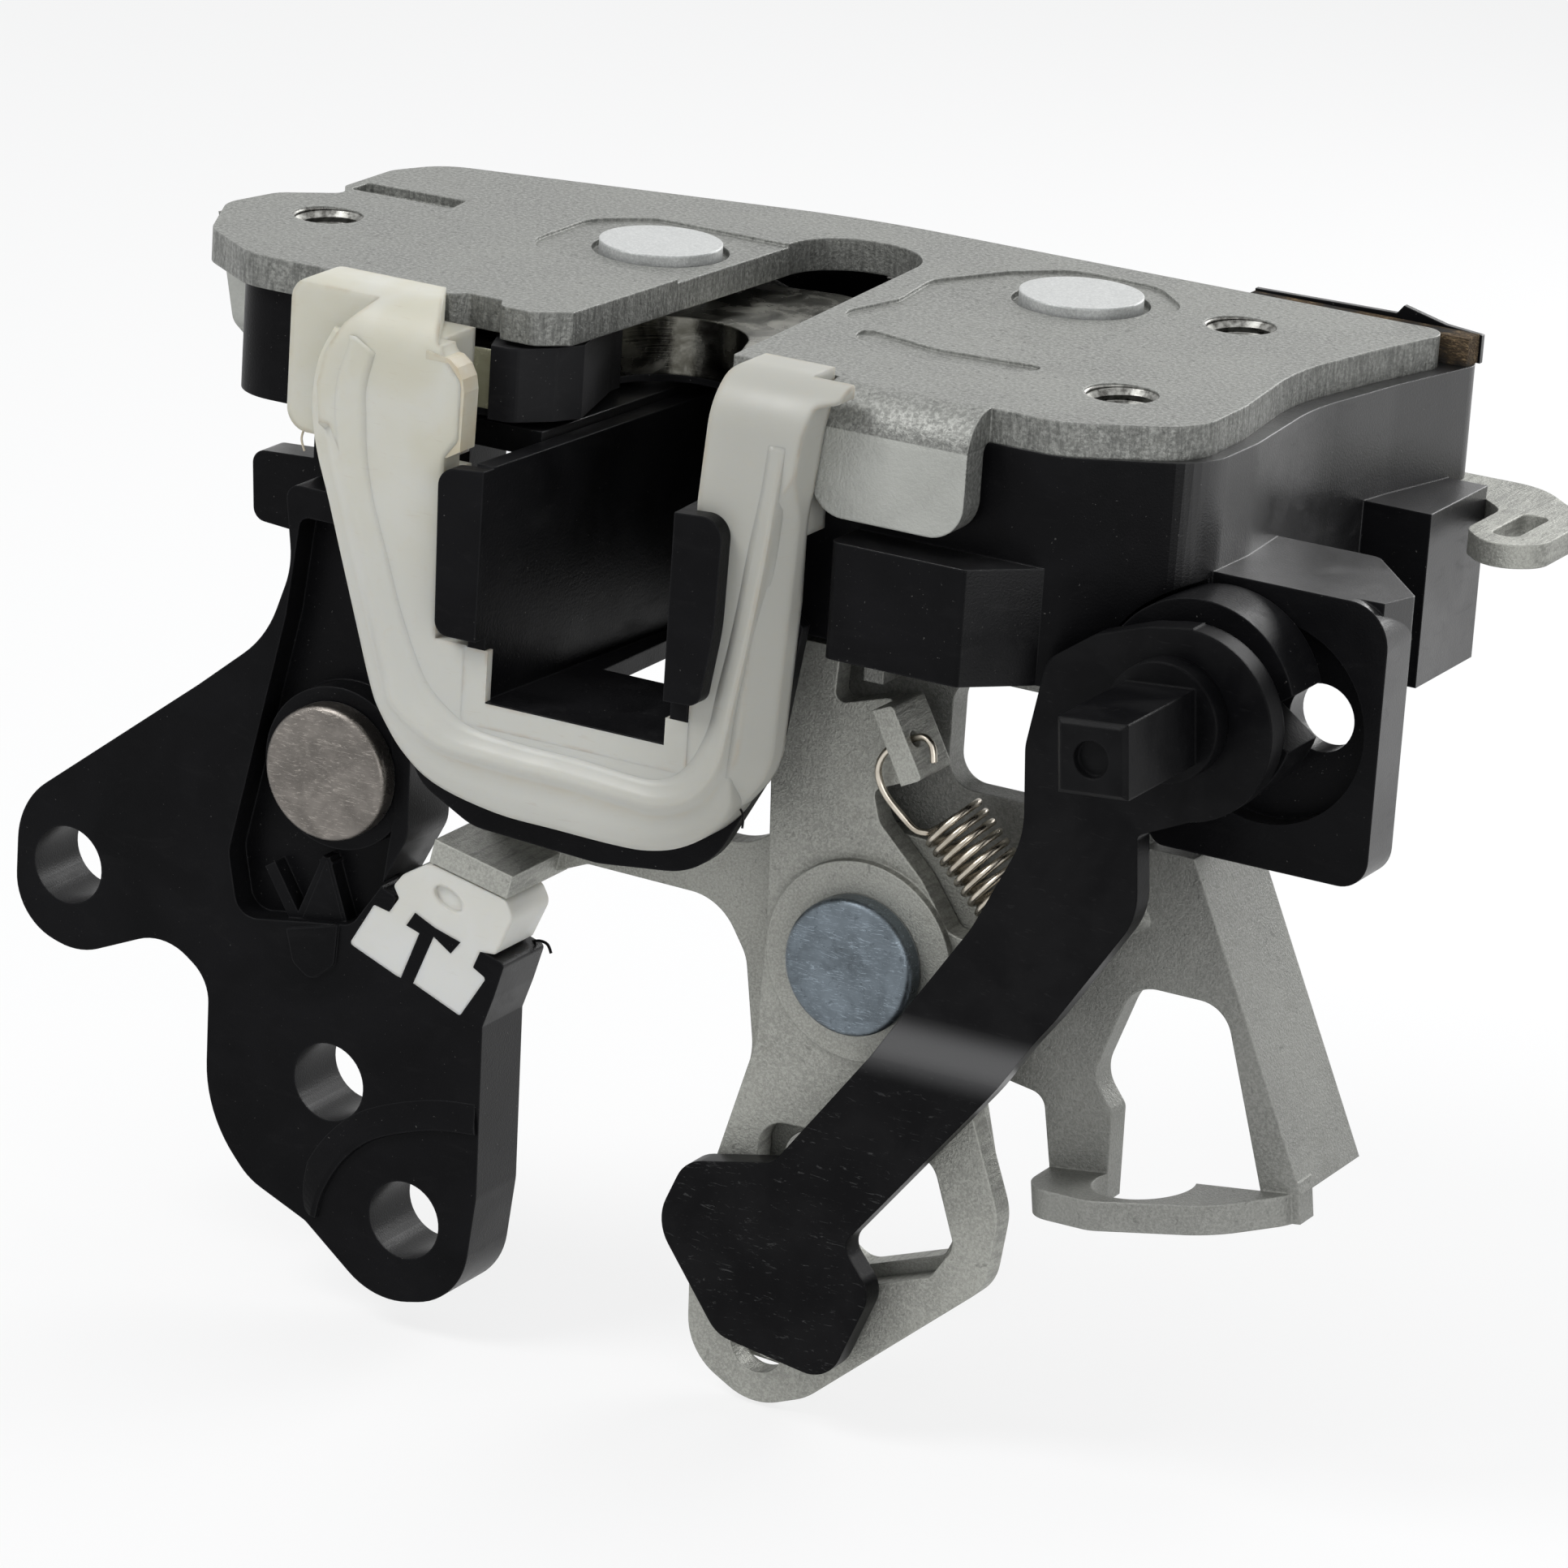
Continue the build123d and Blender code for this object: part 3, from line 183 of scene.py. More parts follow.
class Finish:
    """A Principled material whose colour, roughness and bump come from noise in millimetres."""

    def __init__(self, name, metallic=0.0, specular=0.5, bevel=0.0):
        self.material = bpy.data.materials.new(name)
        self.material.use_nodes = True
        self.tree = self.material.node_tree
        self.shader = self.tree.nodes["Principled BSDF"]
        self.shader.inputs["Metallic"].default_value = metallic
        self.shader.inputs["Specular IOR Level"].default_value = specular
        place = self.tree.nodes.new("ShaderNodeTexCoord")
        scaled = self.tree.nodes.new("ShaderNodeVectorMath")
        scaled.operation = "SCALE"
        scaled.inputs["Scale"].default_value = 1 / MM
        self.tree.links.new(place.outputs["Object"], scaled.inputs[0])
        self.place = scaled.outputs["Vector"]
        self.normal = None
        if bevel:
            self.normal = self.rounded(bevel)

    def rounded(self, radius):
        """The normal, with the edges rounded to that radius in mm."""
        edge = self.tree.nodes.new("ShaderNodeBevel")
        edge.samples = 4
        edge.inputs["Radius"].default_value = radius * MM
        return edge.outputs["Normal"]

    def put(self, socket, value):
        if isinstance(value, bpy.types.NodeSocket):
            self.tree.links.new(value, socket)
        elif isinstance(value, tuple) and len(value) == 3 and socket.type == "RGBA":
            socket.default_value = (*value, 1)
        else:
            socket.default_value = value

    def set(self, name, value):
        self.put(self.shader.inputs[name], value)

    def moved(self, stretch=(1, 1, 1), turn=(0, 0, 0), shift=(0, 0, 0)):
        """The place, turned in degrees and then stretched; a large factor makes features short that way."""
        mapping = self.tree.nodes.new("ShaderNodeMapping")
        mapping.inputs["Scale"].default_value = stretch
        mapping.inputs["Location"].default_value = shift
        mapping.inputs["Rotation"].default_value = [math.radians(a) for a in turn]
        self.put(mapping.inputs["Vector"], self.place)
        return mapping.outputs["Vector"]

    def noise(self, per_mm, detail=2.0, rough=0.5, warp=0.0, place=None):
        """Noise with that many features to the mm."""
        node = self.tree.nodes.new("ShaderNodeTexNoise")
        self.put(node.inputs["Vector"], place or self.place)
        node.inputs["Scale"].default_value = per_mm
        node.inputs["Detail"].default_value = detail
        node.inputs["Roughness"].default_value = rough
        node.inputs["Distortion"].default_value = warp
        return node.outputs["Fac"]

    def levels(self, value, low, high, to_low=0.0, to_high=1.0):
        """The value between low and high, drawn out to run smoothly from to_low to to_high."""
        node = self.tree.nodes.new("ShaderNodeMapRange")
        node.interpolation_type = "SMOOTHSTEP"
        limits = {"From Min": low, "From Max": high, "To Min": to_low, "To Max": to_high}
        for name, number in limits.items():
            node.inputs[name].default_value = number
        self.put(node.inputs["Value"], value)
        return node.outputs["Result"]

    def calc(self, operation, a, b=0.0):
        node = self.tree.nodes.new("ShaderNodeMath")
        node.operation = operation
        self.put(node.inputs[0], a)
        self.put(node.inputs[1], b)
        return node.outputs[0]

    def times(self, a, b):
        return self.calc("MULTIPLY", a, b)

    def mix(self, factor, a, b):
        node = self.tree.nodes.new("ShaderNodeMix")
        node.data_type = "RGBA"
        self.put(node.inputs["Factor"], factor)
        self.put(node.inputs["A"], a)
        self.put(node.inputs["B"], b)
        return node.outputs["Result"]

    def cover(self, colour, mask, share, other):
        """The colour, under another one that is as dense as the mask times the share."""
        return self.mix(self.times(mask, share), colour, other)

    def facing(self, axis):
        """How far a face looks along an axis, from -1 to 1."""
        flat = self.tree.nodes.new("ShaderNodeNewGeometry")
        parts = self.tree.nodes.new("ShaderNodeSeparateXYZ")
        self.put(parts.inputs[0], flat.outputs["True Normal"])
        return parts.outputs[axis]

    def side_of(self, axis):
        """1 on the faces that stand square to a sheet whose thickness lies along that axis."""
        return self.levels(self.calc("ABSOLUTE", self.facing(axis)), 0.75, 0.45)

    def sheen(self, low, high):
        """Specular level: low in front, high on the faces that look right or up."""
        side = self.levels(self.calc("MAXIMUM", self.facing(0), self.facing(2)), 0.6, 0.97, low, high)
        self.set("Specular IOR Level", side)

    def between(self, low, high, axis=2):
        """1 above high mm along an axis of the row frame, 0 below low."""
        parts = self.tree.nodes.new("ShaderNodeSeparateXYZ")
        self.put(parts.inputs[0], self.place)
        return self.levels(parts.outputs[axis], low, high)

    def below(self, low, high, axis=2):
        """1 below low mm along an axis of the row frame, 0 above high."""
        return self.levels(self.between(low, high, axis), 1, 0)

    def bulge(self):
        """How far a surface bulges, 0.5 where it is flat."""
        return self.tree.nodes.new("ShaderNodeNewGeometry").outputs["Pointiness"]

    def bump(self, height, depth, strength=1.0):
        """Adds height, from 0 to 1, as relief of that depth in mm."""
        node = self.tree.nodes.new("ShaderNodeBump")
        node.inputs["Strength"].default_value = strength
        node.inputs["Distance"].default_value = depth * MM
        self.put(node.inputs["Height"], height)
        if self.normal is not None:
            self.put(node.inputs["Normal"], self.normal)
        self.normal = node.outputs["Normal"]

    def edges(self, radius, low=0.02, high=0.2):
        """Mask of the sharp edges, used for wear and for painted edge highlights."""
        soft = self.rounded(radius)
        flat = self.tree.nodes.new("ShaderNodeNewGeometry")
        dot = self.tree.nodes.new("ShaderNodeVectorMath")
        dot.operation = "DOT_PRODUCT"
        self.put(dot.inputs[0], soft)
        self.put(dot.inputs[1], flat.outputs["Normal"])
        return self.levels(self.calc("SUBTRACT", 1.0, dot.outputs["Value"]), low, high)

    def done(self):
        if self.normal is not None:
            self.set("Normal", self.normal)
        return self.material


# Where a look changes on a piece, in mm in the row frame
TAB_LEFT, TAB_RIGHT, TAB_BACK = 58.0, 71.3, -14.25      # the face plate's bent tab
PLATE_UNDERSIDE = -3.0
STEP_TOP, STEP_MIDDLE, STEP_BOTTOM = -49.5, -54.0, -57.5  # painted highlight on the lock lever's arm step
SCUFFED_FROM, SCUFFED_TO = -52.0, -66.0                 # the lock lever's scuffed lower end
GREASED_FROM, GREASED_TO = -13.0, -17.0                 # Y of the grease on the fork's front
NOWHERE = -200.0                                        # below the whole part
SOFT = 0.1                                              # half the width of a sharp change


def shade(tone, *factors):
    """A tone times one factor, or times one each for red, green and blue."""
    if len(factors) == 1:
        factors *= 3
    return tuple(min(1, c * factor) for c, factor in zip(tone, factors))


def zinc(name, tone, grain, speckle, sheet_axis, sheared_above=NOWHERE, striped=1):
    """Zinc-plated sheet steel: satin grey with a sandy grain, stains, and striped where it was sheared."""
    f = Finish(name, metallic=0.55, specular=0.4, bevel=0.22)
    cloud = f.noise(0.09, 4, 0.6, 0.6)
    sand = f.noise(grain, 3, 0.7)
    specks = f.levels(f.noise(grain * 0.55, 2, 0.6, place=f.moved(shift=(31, 7, 3))), 0.60, 0.72)
    stain = f.levels(f.noise(0.35, 3, 0.65, 0.8, place=f.moved(shift=(5, 50, 9))), 0.56, 0.78)
    marks = f.levels(f.noise(0.8, 3, 0.6, 1.4, place=f.moved(shift=(17, 3, 40))), 0.66, 0.72)
    colour = f.mix(f.levels(cloud, 0.3, 0.7), shade(tone, 0.86), shade(tone, 1.14))
    colour = f.cover(colour, f.levels(sand, 0.38, 0.66), speckle, shade(tone, 1.7))
    colour = f.cover(colour, specks, 0.6 * speckle, shade(tone, 0.4))
    colour = f.cover(colour, stain, 0.22, shade(tone, 0.62, 0.60, 0.55))
    colour = f.cover(colour, marks, 0.45, shade(tone, 0.40))
    sheared = f.times(f.side_of(sheet_axis), f.between(sheared_above - SOFT, sheared_above + SOFT))
    if sheet_axis == 2:
        # The bend over the tab faces forward too, but wasn't sheared
        bend = f.times(f.between(TAB_LEFT - SOFT, TAB_LEFT + SOFT, 0),
                       f.below(TAB_RIGHT - SOFT, TAB_RIGHT + SOFT, 0))
        bend = f.times(bend, f.below(TAB_BACK - 0.25, TAB_BACK + 0.25, 1))
        sheared = f.times(sheared, f.calc("SUBTRACT", 1.0, bend))
    stretch = [1.6, 1.6, 1.6]
    stretch[sheet_axis] = 0.25
    stripes = f.noise(1.3, 3, 0.7, 0.4, place=f.moved(tuple(stretch)))
    colour = f.cover(colour, sheared, f.levels(stripes, 0.40, 0.68, 0.0, 0.55 * striped), shade(tone, 0.45))
    if sheet_axis == 2:
        # Painted light: what is bent down and faces forward is made lighter, in patches
        lit_turned_down = f.times(f.levels(f.facing(1), -0.5, -0.9),
                              f.below(PLATE_UNDERSIDE - 0.2, PLATE_UNDERSIDE))
        lit_mottle = f.levels(f.noise(0.25, 3, 0.6), 0.3, 0.7, 0.75, 1)
        colour = f.cover(colour, lit_turned_down, lit_mottle, shade(tone, 2.4))
    # Sharp edges made lighter: partly wear, partly a painted highlight
    sharp_edges = f.edges(0.35)
    colour = f.cover(colour, sharp_edges, 0.35, shade(tone, 1.9))
    f.set("Base Color", colour)
    rough = f.levels(cloud, 0.25, 0.75, 0.42, 0.56)
    f.set("Roughness", f.calc("SUBTRACT", rough, f.times(sharp_edges, 0.1)))
    f.bump(f.noise(0.5, 3, 0.55), 0.05, 0.5)
    f.bump(sand, 0.09, 0.9)
    f.bump(f.times(stripes, sheared), 0.12, 0.8 * striped)
    scratch = f.levels(f.noise(1.0, 2, 0.5, 0.4, place=f.moved((0.12, 7, 1), (0, 0, 24))), 0.66, 0.74)
    f.bump(scratch, -0.012, 0.5)
    return f.done()


def thread_steel():
    """Cut thread: bare, oily and darker than the plate."""
    f = Finish("thread_steel", metallic=0.9)
    cloud = f.noise(1.5, 3, 0.6)
    f.set("Base Color", f.mix(f.levels(cloud, 0.3, 0.7), (0.10, 0.098, 0.09), (0.34, 0.34, 0.32)))
    f.set("Roughness", f.levels(cloud, 0.3, 0.7, 0.25, 0.45))
    f.bump(f.noise(6, 2, 0.5), 0.01, 0.5)
    return f.done()


def closed_rivet():
    """Bright blank head of the fork's and the pawl's rivets."""
    f = Finish("top_rivet", metallic=0.5, bevel=0.3)
    fine = f.noise(5, 3, 0.7)
    marks = f.levels(f.noise(1.2, 3, 0.65, 1.0), 0.62, 0.72)
    colour = f.mix(f.levels(fine, 0.35, 0.7), (0.45, 0.46, 0.455), (0.60, 0.61, 0.60))
    f.set("Base Color", f.cover(colour, marks, 0.28, (0.25, 0.25, 0.245)))
    f.set("Roughness", f.levels(fine, 0.3, 0.7, 0.36, 0.5))
    f.bump(fine, 0.02, 0.6)
    return f.done()


def lever_rivet(name, tone, rough, knocked, brushed):
    """Rivet head of the levers: zinc with fine scratches and small knocks, or brushed."""
    f = Finish(name, metallic=0.9, bevel=0.35)
    cloud = f.noise(0.35, 3, 0.6, 0.6)
    knocks = f.levels(f.noise(1.9, 3, 0.65, 0.8), 0.58, 0.68)
    hairs = f.levels(f.noise(1.6, 4, 0.75, 1.6, place=f.moved((0.5, 1, 3.2), (0, 35, 0))), 0.53, 0.66)
    colour = f.mix(f.levels(cloud, 0.3, 0.7), shade(tone, 0.74), shade(tone, 1.18))
    colour = f.cover(colour, knocks, 0.5 * knocked, shade(tone, 0.45))
    colour = f.cover(colour, hairs, 0.55, shade(tone, 2.6))
    # Lighter rim: partly wear, partly a painted highlight
    f.set("Base Color", f.cover(colour, f.edges(0.5), 0.8, (0.62, 0.63, 0.63)))
    f.set("Roughness", f.levels(cloud, 0.25, 0.75, rough, rough + 0.14))
    f.bump(knocks, -0.02, 0.6 * knocked)
    f.bump(hairs, 0.01, 0.5)
    if brushed:
        f.bump(f.noise(3, 2, 0.6, place=f.moved((0.3, 1, 4), (0, 20, 0))), 0.015, brushed)
    f.bump(f.noise(6, 2, 0.6), 0.01, 0.5)
    return f.done()


def black_plastic(name, tone, rough, grain, streak, dust, gloss):
    """Moulded black plastic: fine satin grain, flow streaks, and pale dust caught here and there."""
    f = Finish(name, bevel=0.18)
    f.sheen(0.05, gloss)
    cloud = f.noise(0.12, 3, 0.55, 0.5)
    fine = f.noise(grain, 2, 0.6)
    motes = f.levels(f.noise(3.2, 2, 0.65, place=f.moved(shift=(9, 13, 71))), 0.70, 0.78)
    smear = f.levels(f.noise(0.22, 4, 0.65, 1.2, place=f.moved((1, 1, 2.6))), 0.52, 0.74)
    colour = f.mix(f.levels(cloud, 0.3, 0.7), tone, shade(tone, 1.5))
    colour = f.cover(colour, motes, 0.5 * dust, (0.42, 0.41, 0.39))
    colour = f.cover(colour, smear, 0.012 * dust, (0.35, 0.34, 0.33))
    # Painted highlight: the sharp edges are made a little lighter
    f.set("Base Color", f.cover(colour, f.edges(0.25), 0.10, (0.13, 0.13, 0.135)))
    satin = f.levels(cloud, 0.3, 0.7, rough - 0.05, rough + 0.06)
    f.set("Roughness", f.calc("ADD", satin, f.times(smear, 0.08)))
    f.bump(f.noise(0.08, 2, 0.5), 0.12, 0.35)
    f.bump(fine, 0.035, 0.6)
    if streak:
        f.bump(f.noise(0.9, 2, 0.5, 0.3, place=f.moved((0.25, 0.25, 3))), 0.02, streak)
    return f.done()


def white_nylon(name, tone, dirt_and_shade, bevel, ridged=0):
    """Natural nylon: soft translucent white, yellowed, with brown rubbed dirt on its edges."""
    f = Finish(name, specular=0.4, bevel=bevel)
    cloud = f.noise(0.11, 3, 0.55, 0.5)
    colour = f.mix(f.levels(cloud, 0.3, 0.7), tone, shade(tone, 0.94, 0.92, 0.84))
    # Greyer at the bottom of the guard; darker on its right, which is painted shade
    colour = f.cover(colour, f.below(-30, -8), dirt_and_shade, shade(tone, 0.91, 0.915, 0.93))
    colour = f.cover(colour, f.between(40, 54, 0), dirt_and_shade, shade(tone, 0.72))
    dirt = f.levels(f.noise(0.9, 4, 0.7, 1.0), 0.55, 0.72)
    lines = f.levels(f.noise(0.8, 3, 0.6, 0.6, place=f.moved((0.5, 0.5, 5), (20, 25, 0))), 0.63, 0.72)
    sharp_edges = f.edges(0.7, 0.01, 0.16)
    if ridged:
        rubbed = f.levels(f.noise(0.3, 3, 0.6), 0.3, 0.65, 0.35, 1)
        crests = f.times(f.levels(f.bulge(), 0.505, 0.545, 0, ridged), rubbed)
        colour = f.mix(crests, colour, (0.52, 0.44, 0.30))
    mask = f.times(sharp_edges, f.levels(f.noise(0.35, 3, 0.6), 0.42, 0.66))
    colour = f.cover(colour, mask, 0.55 * dirt_and_shade, (0.40, 0.29, 0.18))
    colour = f.cover(colour, dirt, 0.10 * dirt_and_shade, (0.50, 0.42, 0.30))
    colour = f.cover(colour, lines, 0.12 * dirt_and_shade, (0.36, 0.27, 0.18))
    f.set("Base Color", colour)
    f.set("Roughness", f.levels(cloud, 0.3, 0.7, 0.36, 0.5))
    f.set("Subsurface Weight", 0.25)
    f.set("Subsurface Radius", (1.0, 0.8, 0.5))
    f.set("Subsurface Scale", 0.0015)
    f.bump(f.noise(0.12, 3, 0.5), 0.16, 0.5)
    f.bump(f.noise(2.5, 2, 0.5), 0.012, 0.4)
    return f.done()


def rubber_black():
    """Matt black rubber."""
    f = Finish("rubber_black", specular=0.35, bevel=0.3)
    cloud = f.levels(f.noise(0.6, 3), 0.35, 0.7)
    f.set("Base Color", f.mix(cloud, (0.016, 0.016, 0.016), (0.035, 0.034, 0.033)))
    f.set("Roughness", f.levels(f.noise(1.5, 2), 0.3, 0.7, 0.62, 0.78))
    f.bump(f.noise(4, 3, 0.6), 0.03, 0.6)
    return f.done()


def gasket_felt():
    """Brown felt with pale fibres."""
    f = Finish("gasket_foam", specular=0.2)
    fibres = f.levels(f.noise(2.6, 4, 0.75, 1.5, place=f.moved((0.5, 2, 2))), 0.45, 0.68)
    colour = f.mix(fibres, (0.055, 0.038, 0.024), (0.46, 0.33, 0.19))
    f.set("Base Color", f.mix(f.levels(f.noise(0.3, 2), 0.4, 0.62), colour, (0.03, 0.028, 0.026)))
    f.set("Roughness", 0.95)
    f.bump(fibres, 0.12, 0.9)
    return f.done()


def fork_steel():
    """Hard steel, rubbed bright, with yellowish grease on the fork's front."""
    f = Finish("fork_steel", metallic=1.0, bevel=0.25)
    cloud = f.noise(0.3, 4, 0.6, 0.5)
    f.set("Roughness", f.levels(cloud, 0.3, 0.7, 0.16, 0.34))
    grease = f.times(f.levels(f.facing(1), -0.4, -0.8), f.below(GREASED_TO, GREASED_FROM, 1))
    bare = f.mix(f.levels(cloud, 0.3, 0.7), (0.07, 0.068, 0.055), (0.34, 0.335, 0.30))
    f.set("Base Color", f.mix(grease, bare, (0.56, 0.55, 0.38)))
    f.set("Metallic", f.levels(grease, 0, 1, 1, 0.1))
    f.bump(f.noise(1.1, 2, 0.5, 0.3, place=f.moved((0.3, 0.3, 6))), 0.03, 0.6)
    f.bump(f.noise(5, 2, 0.6), 0.012, 0.5)
    return f.done()


def black_coat():
    """Dipped black coat over steel: semi-gloss, with a painted highlight on the arm's step, scuffed at the
    lower end.
    """
    f = Finish("black_coat", bevel=0.3)
    cloud = f.noise(0.2, 3, 0.55, 0.4)
    scuff = f.levels(f.noise(1.6, 4, 0.7, 0.8, place=f.moved((0.5, 1, 2.4), (0, 40, 0))), 0.60, 0.70)
    low = f.calc("SUBTRACT", 1.0, f.between(SCUFFED_TO, SCUFFED_FROM))
    mask = f.times(scuff, f.calc("ADD", f.times(low, 0.75), 0.12))
    colour = f.mix(f.levels(cloud, 0.3, 0.7), (0.0035, 0.0035, 0.004), (0.007, 0.007, 0.0075))
    # Painted highlight on the arm's step: lighter colour and more specular
    step = f.times(f.between(STEP_BOTTOM, STEP_MIDDLE), f.below(STEP_MIDDLE, STEP_TOP))
    colour = f.cover(colour, step, 0.35, (0.10, 0.10, 0.105))
    f.set("Base Color", f.cover(colour, mask, 0.5, (0.10, 0.10, 0.10)))
    f.set("Specular IOR Level", f.calc("ADD", f.times(step, 0.8), 0.06))
    f.set("Roughness", f.calc("ADD", f.levels(cloud, 0.3, 0.7, 0.28, 0.38), f.times(mask, 0.2)))
    f.bump(f.noise(3.5, 2, 0.5), 0.02, 0.45)
    f.bump(f.noise(0.25, 2, 0.5), 0.06, 0.5)
    return f.done()


def spring_steel():
    """Bare spring wire, slightly yellow."""
    f = Finish("spring_steel", metallic=1.0)
    cloud = f.noise(0.5, 3, 0.6)
    f.set("Base Color", f.mix(f.levels(cloud, 0.3, 0.7), (0.40, 0.36, 0.30), (0.66, 0.61, 0.52)))
    f.set("Roughness", f.levels(cloud, 0.3, 0.7, 0.22, 0.34))
    f.bump(f.noise(7, 2, 0.5), 0.006, 0.5)
    return f.done()


GUARD_WHITE = (0.58, 0.575, 0.52)


def dress_nodes():
    """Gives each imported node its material, and returns them by the node's name."""
    plate = zinc("plate_steel", (0.172, 0.175, 0.164), 3.0, 1.0, 2, sheared_above=PLATE_UNDERSIDE)
    lever = zinc("lever_steel", (0.30, 0.302, 0.276), 4.6, 0.5, 1)
    bracket = zinc("bracket_steel", (0.215, 0.217, 0.202), 4.6, 0.45, 1, striped=0.15)
    top_rivet, bolt, coat = closed_rivet(), fork_steel(), black_coat()
    front_rivet = lever_rivet("front_rivet", (0.145, 0.172, 0.195), rough=0.26, knocked=1, brushed=0)
    rod_rivet = lever_rivet("rod_rivet", (0.18, 0.165, 0.15), rough=0.22, knocked=0.25, brushed=0.5)
    housing = black_plastic("housing_plastic", (0.0045, 0.0045, 0.005), rough=0.34, grain=5.5, streak=0.25,
                            dust=0.4, gloss=0.9)
    liner = black_plastic("liner_plastic", (0.004, 0.004, 0.0045), rough=0.38, grain=4.0, streak=0.3,
                          dust=0.5, gloss=0.12)
    rod = black_plastic("rod_lever_plastic", (0.004, 0.004, 0.0045), rough=0.32, grain=6.0, streak=0.15,
                        dust=0.4, gloss=0.18)
    finishes = {
        "face_plate": plate, "latch_housing": housing, "mouth_liner": liner,
        "striker_guard": white_nylon("guard_nylon", GUARD_WHITE, dirt_and_shade=1.0, bevel=0.9),
        "striker_bumper": rubber_black(), "gasket_strip": gasket_felt(), "mechanism_plate": bracket,
        "bracket_screws": lever_rivet("screw_zinc", (0.42, 0.42, 0.40), rough=0.3, knocked=0.5, brushed=0),
        "fork_rivet": top_rivet, "pawl_rivet": top_rivet, "rod_lever_rivet": rod_rivet,
        "release_lever_rivet": front_rivet, "fork_bolt": bolt,
        "fork_overmould": black_plastic("overmould_plastic", (0.011, 0.011, 0.012), rough=0.5, grain=3.2,
                                        streak=0, dust=1.2, gloss=0.4),
        "pawl": bolt, "pull_lever": lever, "rod_lever": rod,
        "nylon_bumper": white_nylon("bumper_nylon", (0.68, 0.68, 0.65), dirt_and_shade=0.5, bevel=0.4),
        "transfer_lever": lever, "release_lever": lever, "lock_lever": coat, "lock_shaft": coat,
        "lock_collar": liner, "return_spring": spring_steel(),
    }
    for name, material in finishes.items():
        slots = nodes[name].data.materials
        slots.clear()
        slots.append(material)
    return finishes


# Small pieces that the CAD leaves out

def add_piece(name, points, faces, material, body, slot, smooth=True):
    """A mesh from points in mm round the fork's axis, riding on a body."""
    mesh = bpy.data.meshes.new(name)
    mesh.from_pydata([at(*point) for point in points], [], faces)
    mesh.validate()
    mesh.polygons.foreach_set("use_smooth", [smooth] * len(mesh.polygons))
    mesh.materials.append(material)
    piece = bpy.data.objects.new(name, mesh)
    scene.collection.objects.link(piece)
    if body:
        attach(piece, body)
    return piece


def smooth_line(points, steps=8):
    """Points along a curve that passes through the given ones."""
    points = [Vector(p) for p in points]
    line = []
    for i in range(len(points) - 1):
        before = points[max(i - 1, 0)]
        a, b = points[i], points[i + 1]
        after = points[min(i + 2, len(points) - 1)]
        for k in range(steps):
            t = k / steps
            line.append(0.5 * ((2 * a) + (b - before) * t + (2 * before - 5 * a + 4 * b - after) * t ** 2
                               + (3 * a - before - 3 * b + after) * t ** 3))
    return line + [points[-1]]


def skin(rings, sides):
    """Faces over that many rings of points, which follow one another, closed at both ends."""
    faces = []
    for i in range(rings - 1):
        for k in range(sides):
            a, b = i * sides + k, i * sides + (k + 1) % sides
            faces.append((a, b, b + sides, a + sides))
    return faces + [tuple(reversed(range(sides))), tuple(range((rings - 1) * sides, rings * sides))]


def tube(line, radius, sides=10):
    """Points and faces of a round wire along a line of points."""
    points = []
    along = (line[1] - line[0]).normalized()
    side = along.orthogonal().normalized()
    for i, centre in enumerate(line):
        ahead = line[min(i + 1, len(line) - 1)] - line[max(i - 1, 0)]
        along = ahead.normalized()
        side = (side - along * side.dot(along)).normalized()
        other = along.cross(side)
        for k in range(sides):
            angle = 2 * math.pi * k / sides
            points.append(centre + radius * (math.cos(angle) * side + math.sin(angle) * other))
    return points, skin(len(line), sides)


SPRING_TOP = Vector((42.2, -22.8, -35.2))      # centre of the coil's upper end
COIL_R, COIL_PITCH, COIL_TURNS, PER_TURN = 2.6, 0.97, 10, 20
WIRE_R = 0.3
UPPER_HOOK = (                                 # through the release lever's tab, down to the coil
    (41.5, -24.9, -30.3), (41.2, -24.8, -29.0), (40.2, -24.6, -28.5), (38.75, -24.6, -29.2),
    (37.2, -24.5, -30.2), (36.3, -24.2, -31.6), (36.2, -23.9, -33.0), (36.9, -23.7, -34.4),
    (38.3, -23.4, -35.9), (39.4, -23.1, -36.9))
LOWER_HOOK = (                                 # from the coil to the anchor and through it
    (47.9, -22.2, -44.3), (49.2, -22.3, -43.9), (50.4, -22.7, -43.7), (51.3, -22.8, -44.3),
    (52.0, -22.8, -45.0), (52.9, -23.0, -45.9), (53.3, -23.9, -46.3), (53.0, -25.0, -46.0),
    (52.2, -25.5, -45.2), (51.3, -25.3, -44.4))


def return_spring():
    """Extension spring: its hook through the release lever's tab, its coil, and its hook in the anchor."""
    along, across, up = Vector((1, 0, -1)).normalized(), Vector((0, 1, 0)), Vector((1, 0, 1)).normalized()
    coil = []
    for i in range(COIL_TURNS * PER_TURN + 1):
        angle = 2 * math.pi * i / PER_TURN - math.pi / 2
        coil.append(SPRING_TOP + along * (COIL_PITCH * i / PER_TURN)
                    + COIL_R * (math.cos(angle) * across + math.sin(angle) * up))
    upper = smooth_line([*UPPER_HOOK, coil[0]])
    lower = smooth_line([coil[-1], *LOWER_HOOK])
    points, faces = tube(upper[:-1] + coil + lower[1:], WIRE_R)
    spring = add_piece("spring_wire", points, faces, looks["return_spring"], None, "spring_steel")
    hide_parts("return_spring")
    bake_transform(spring)


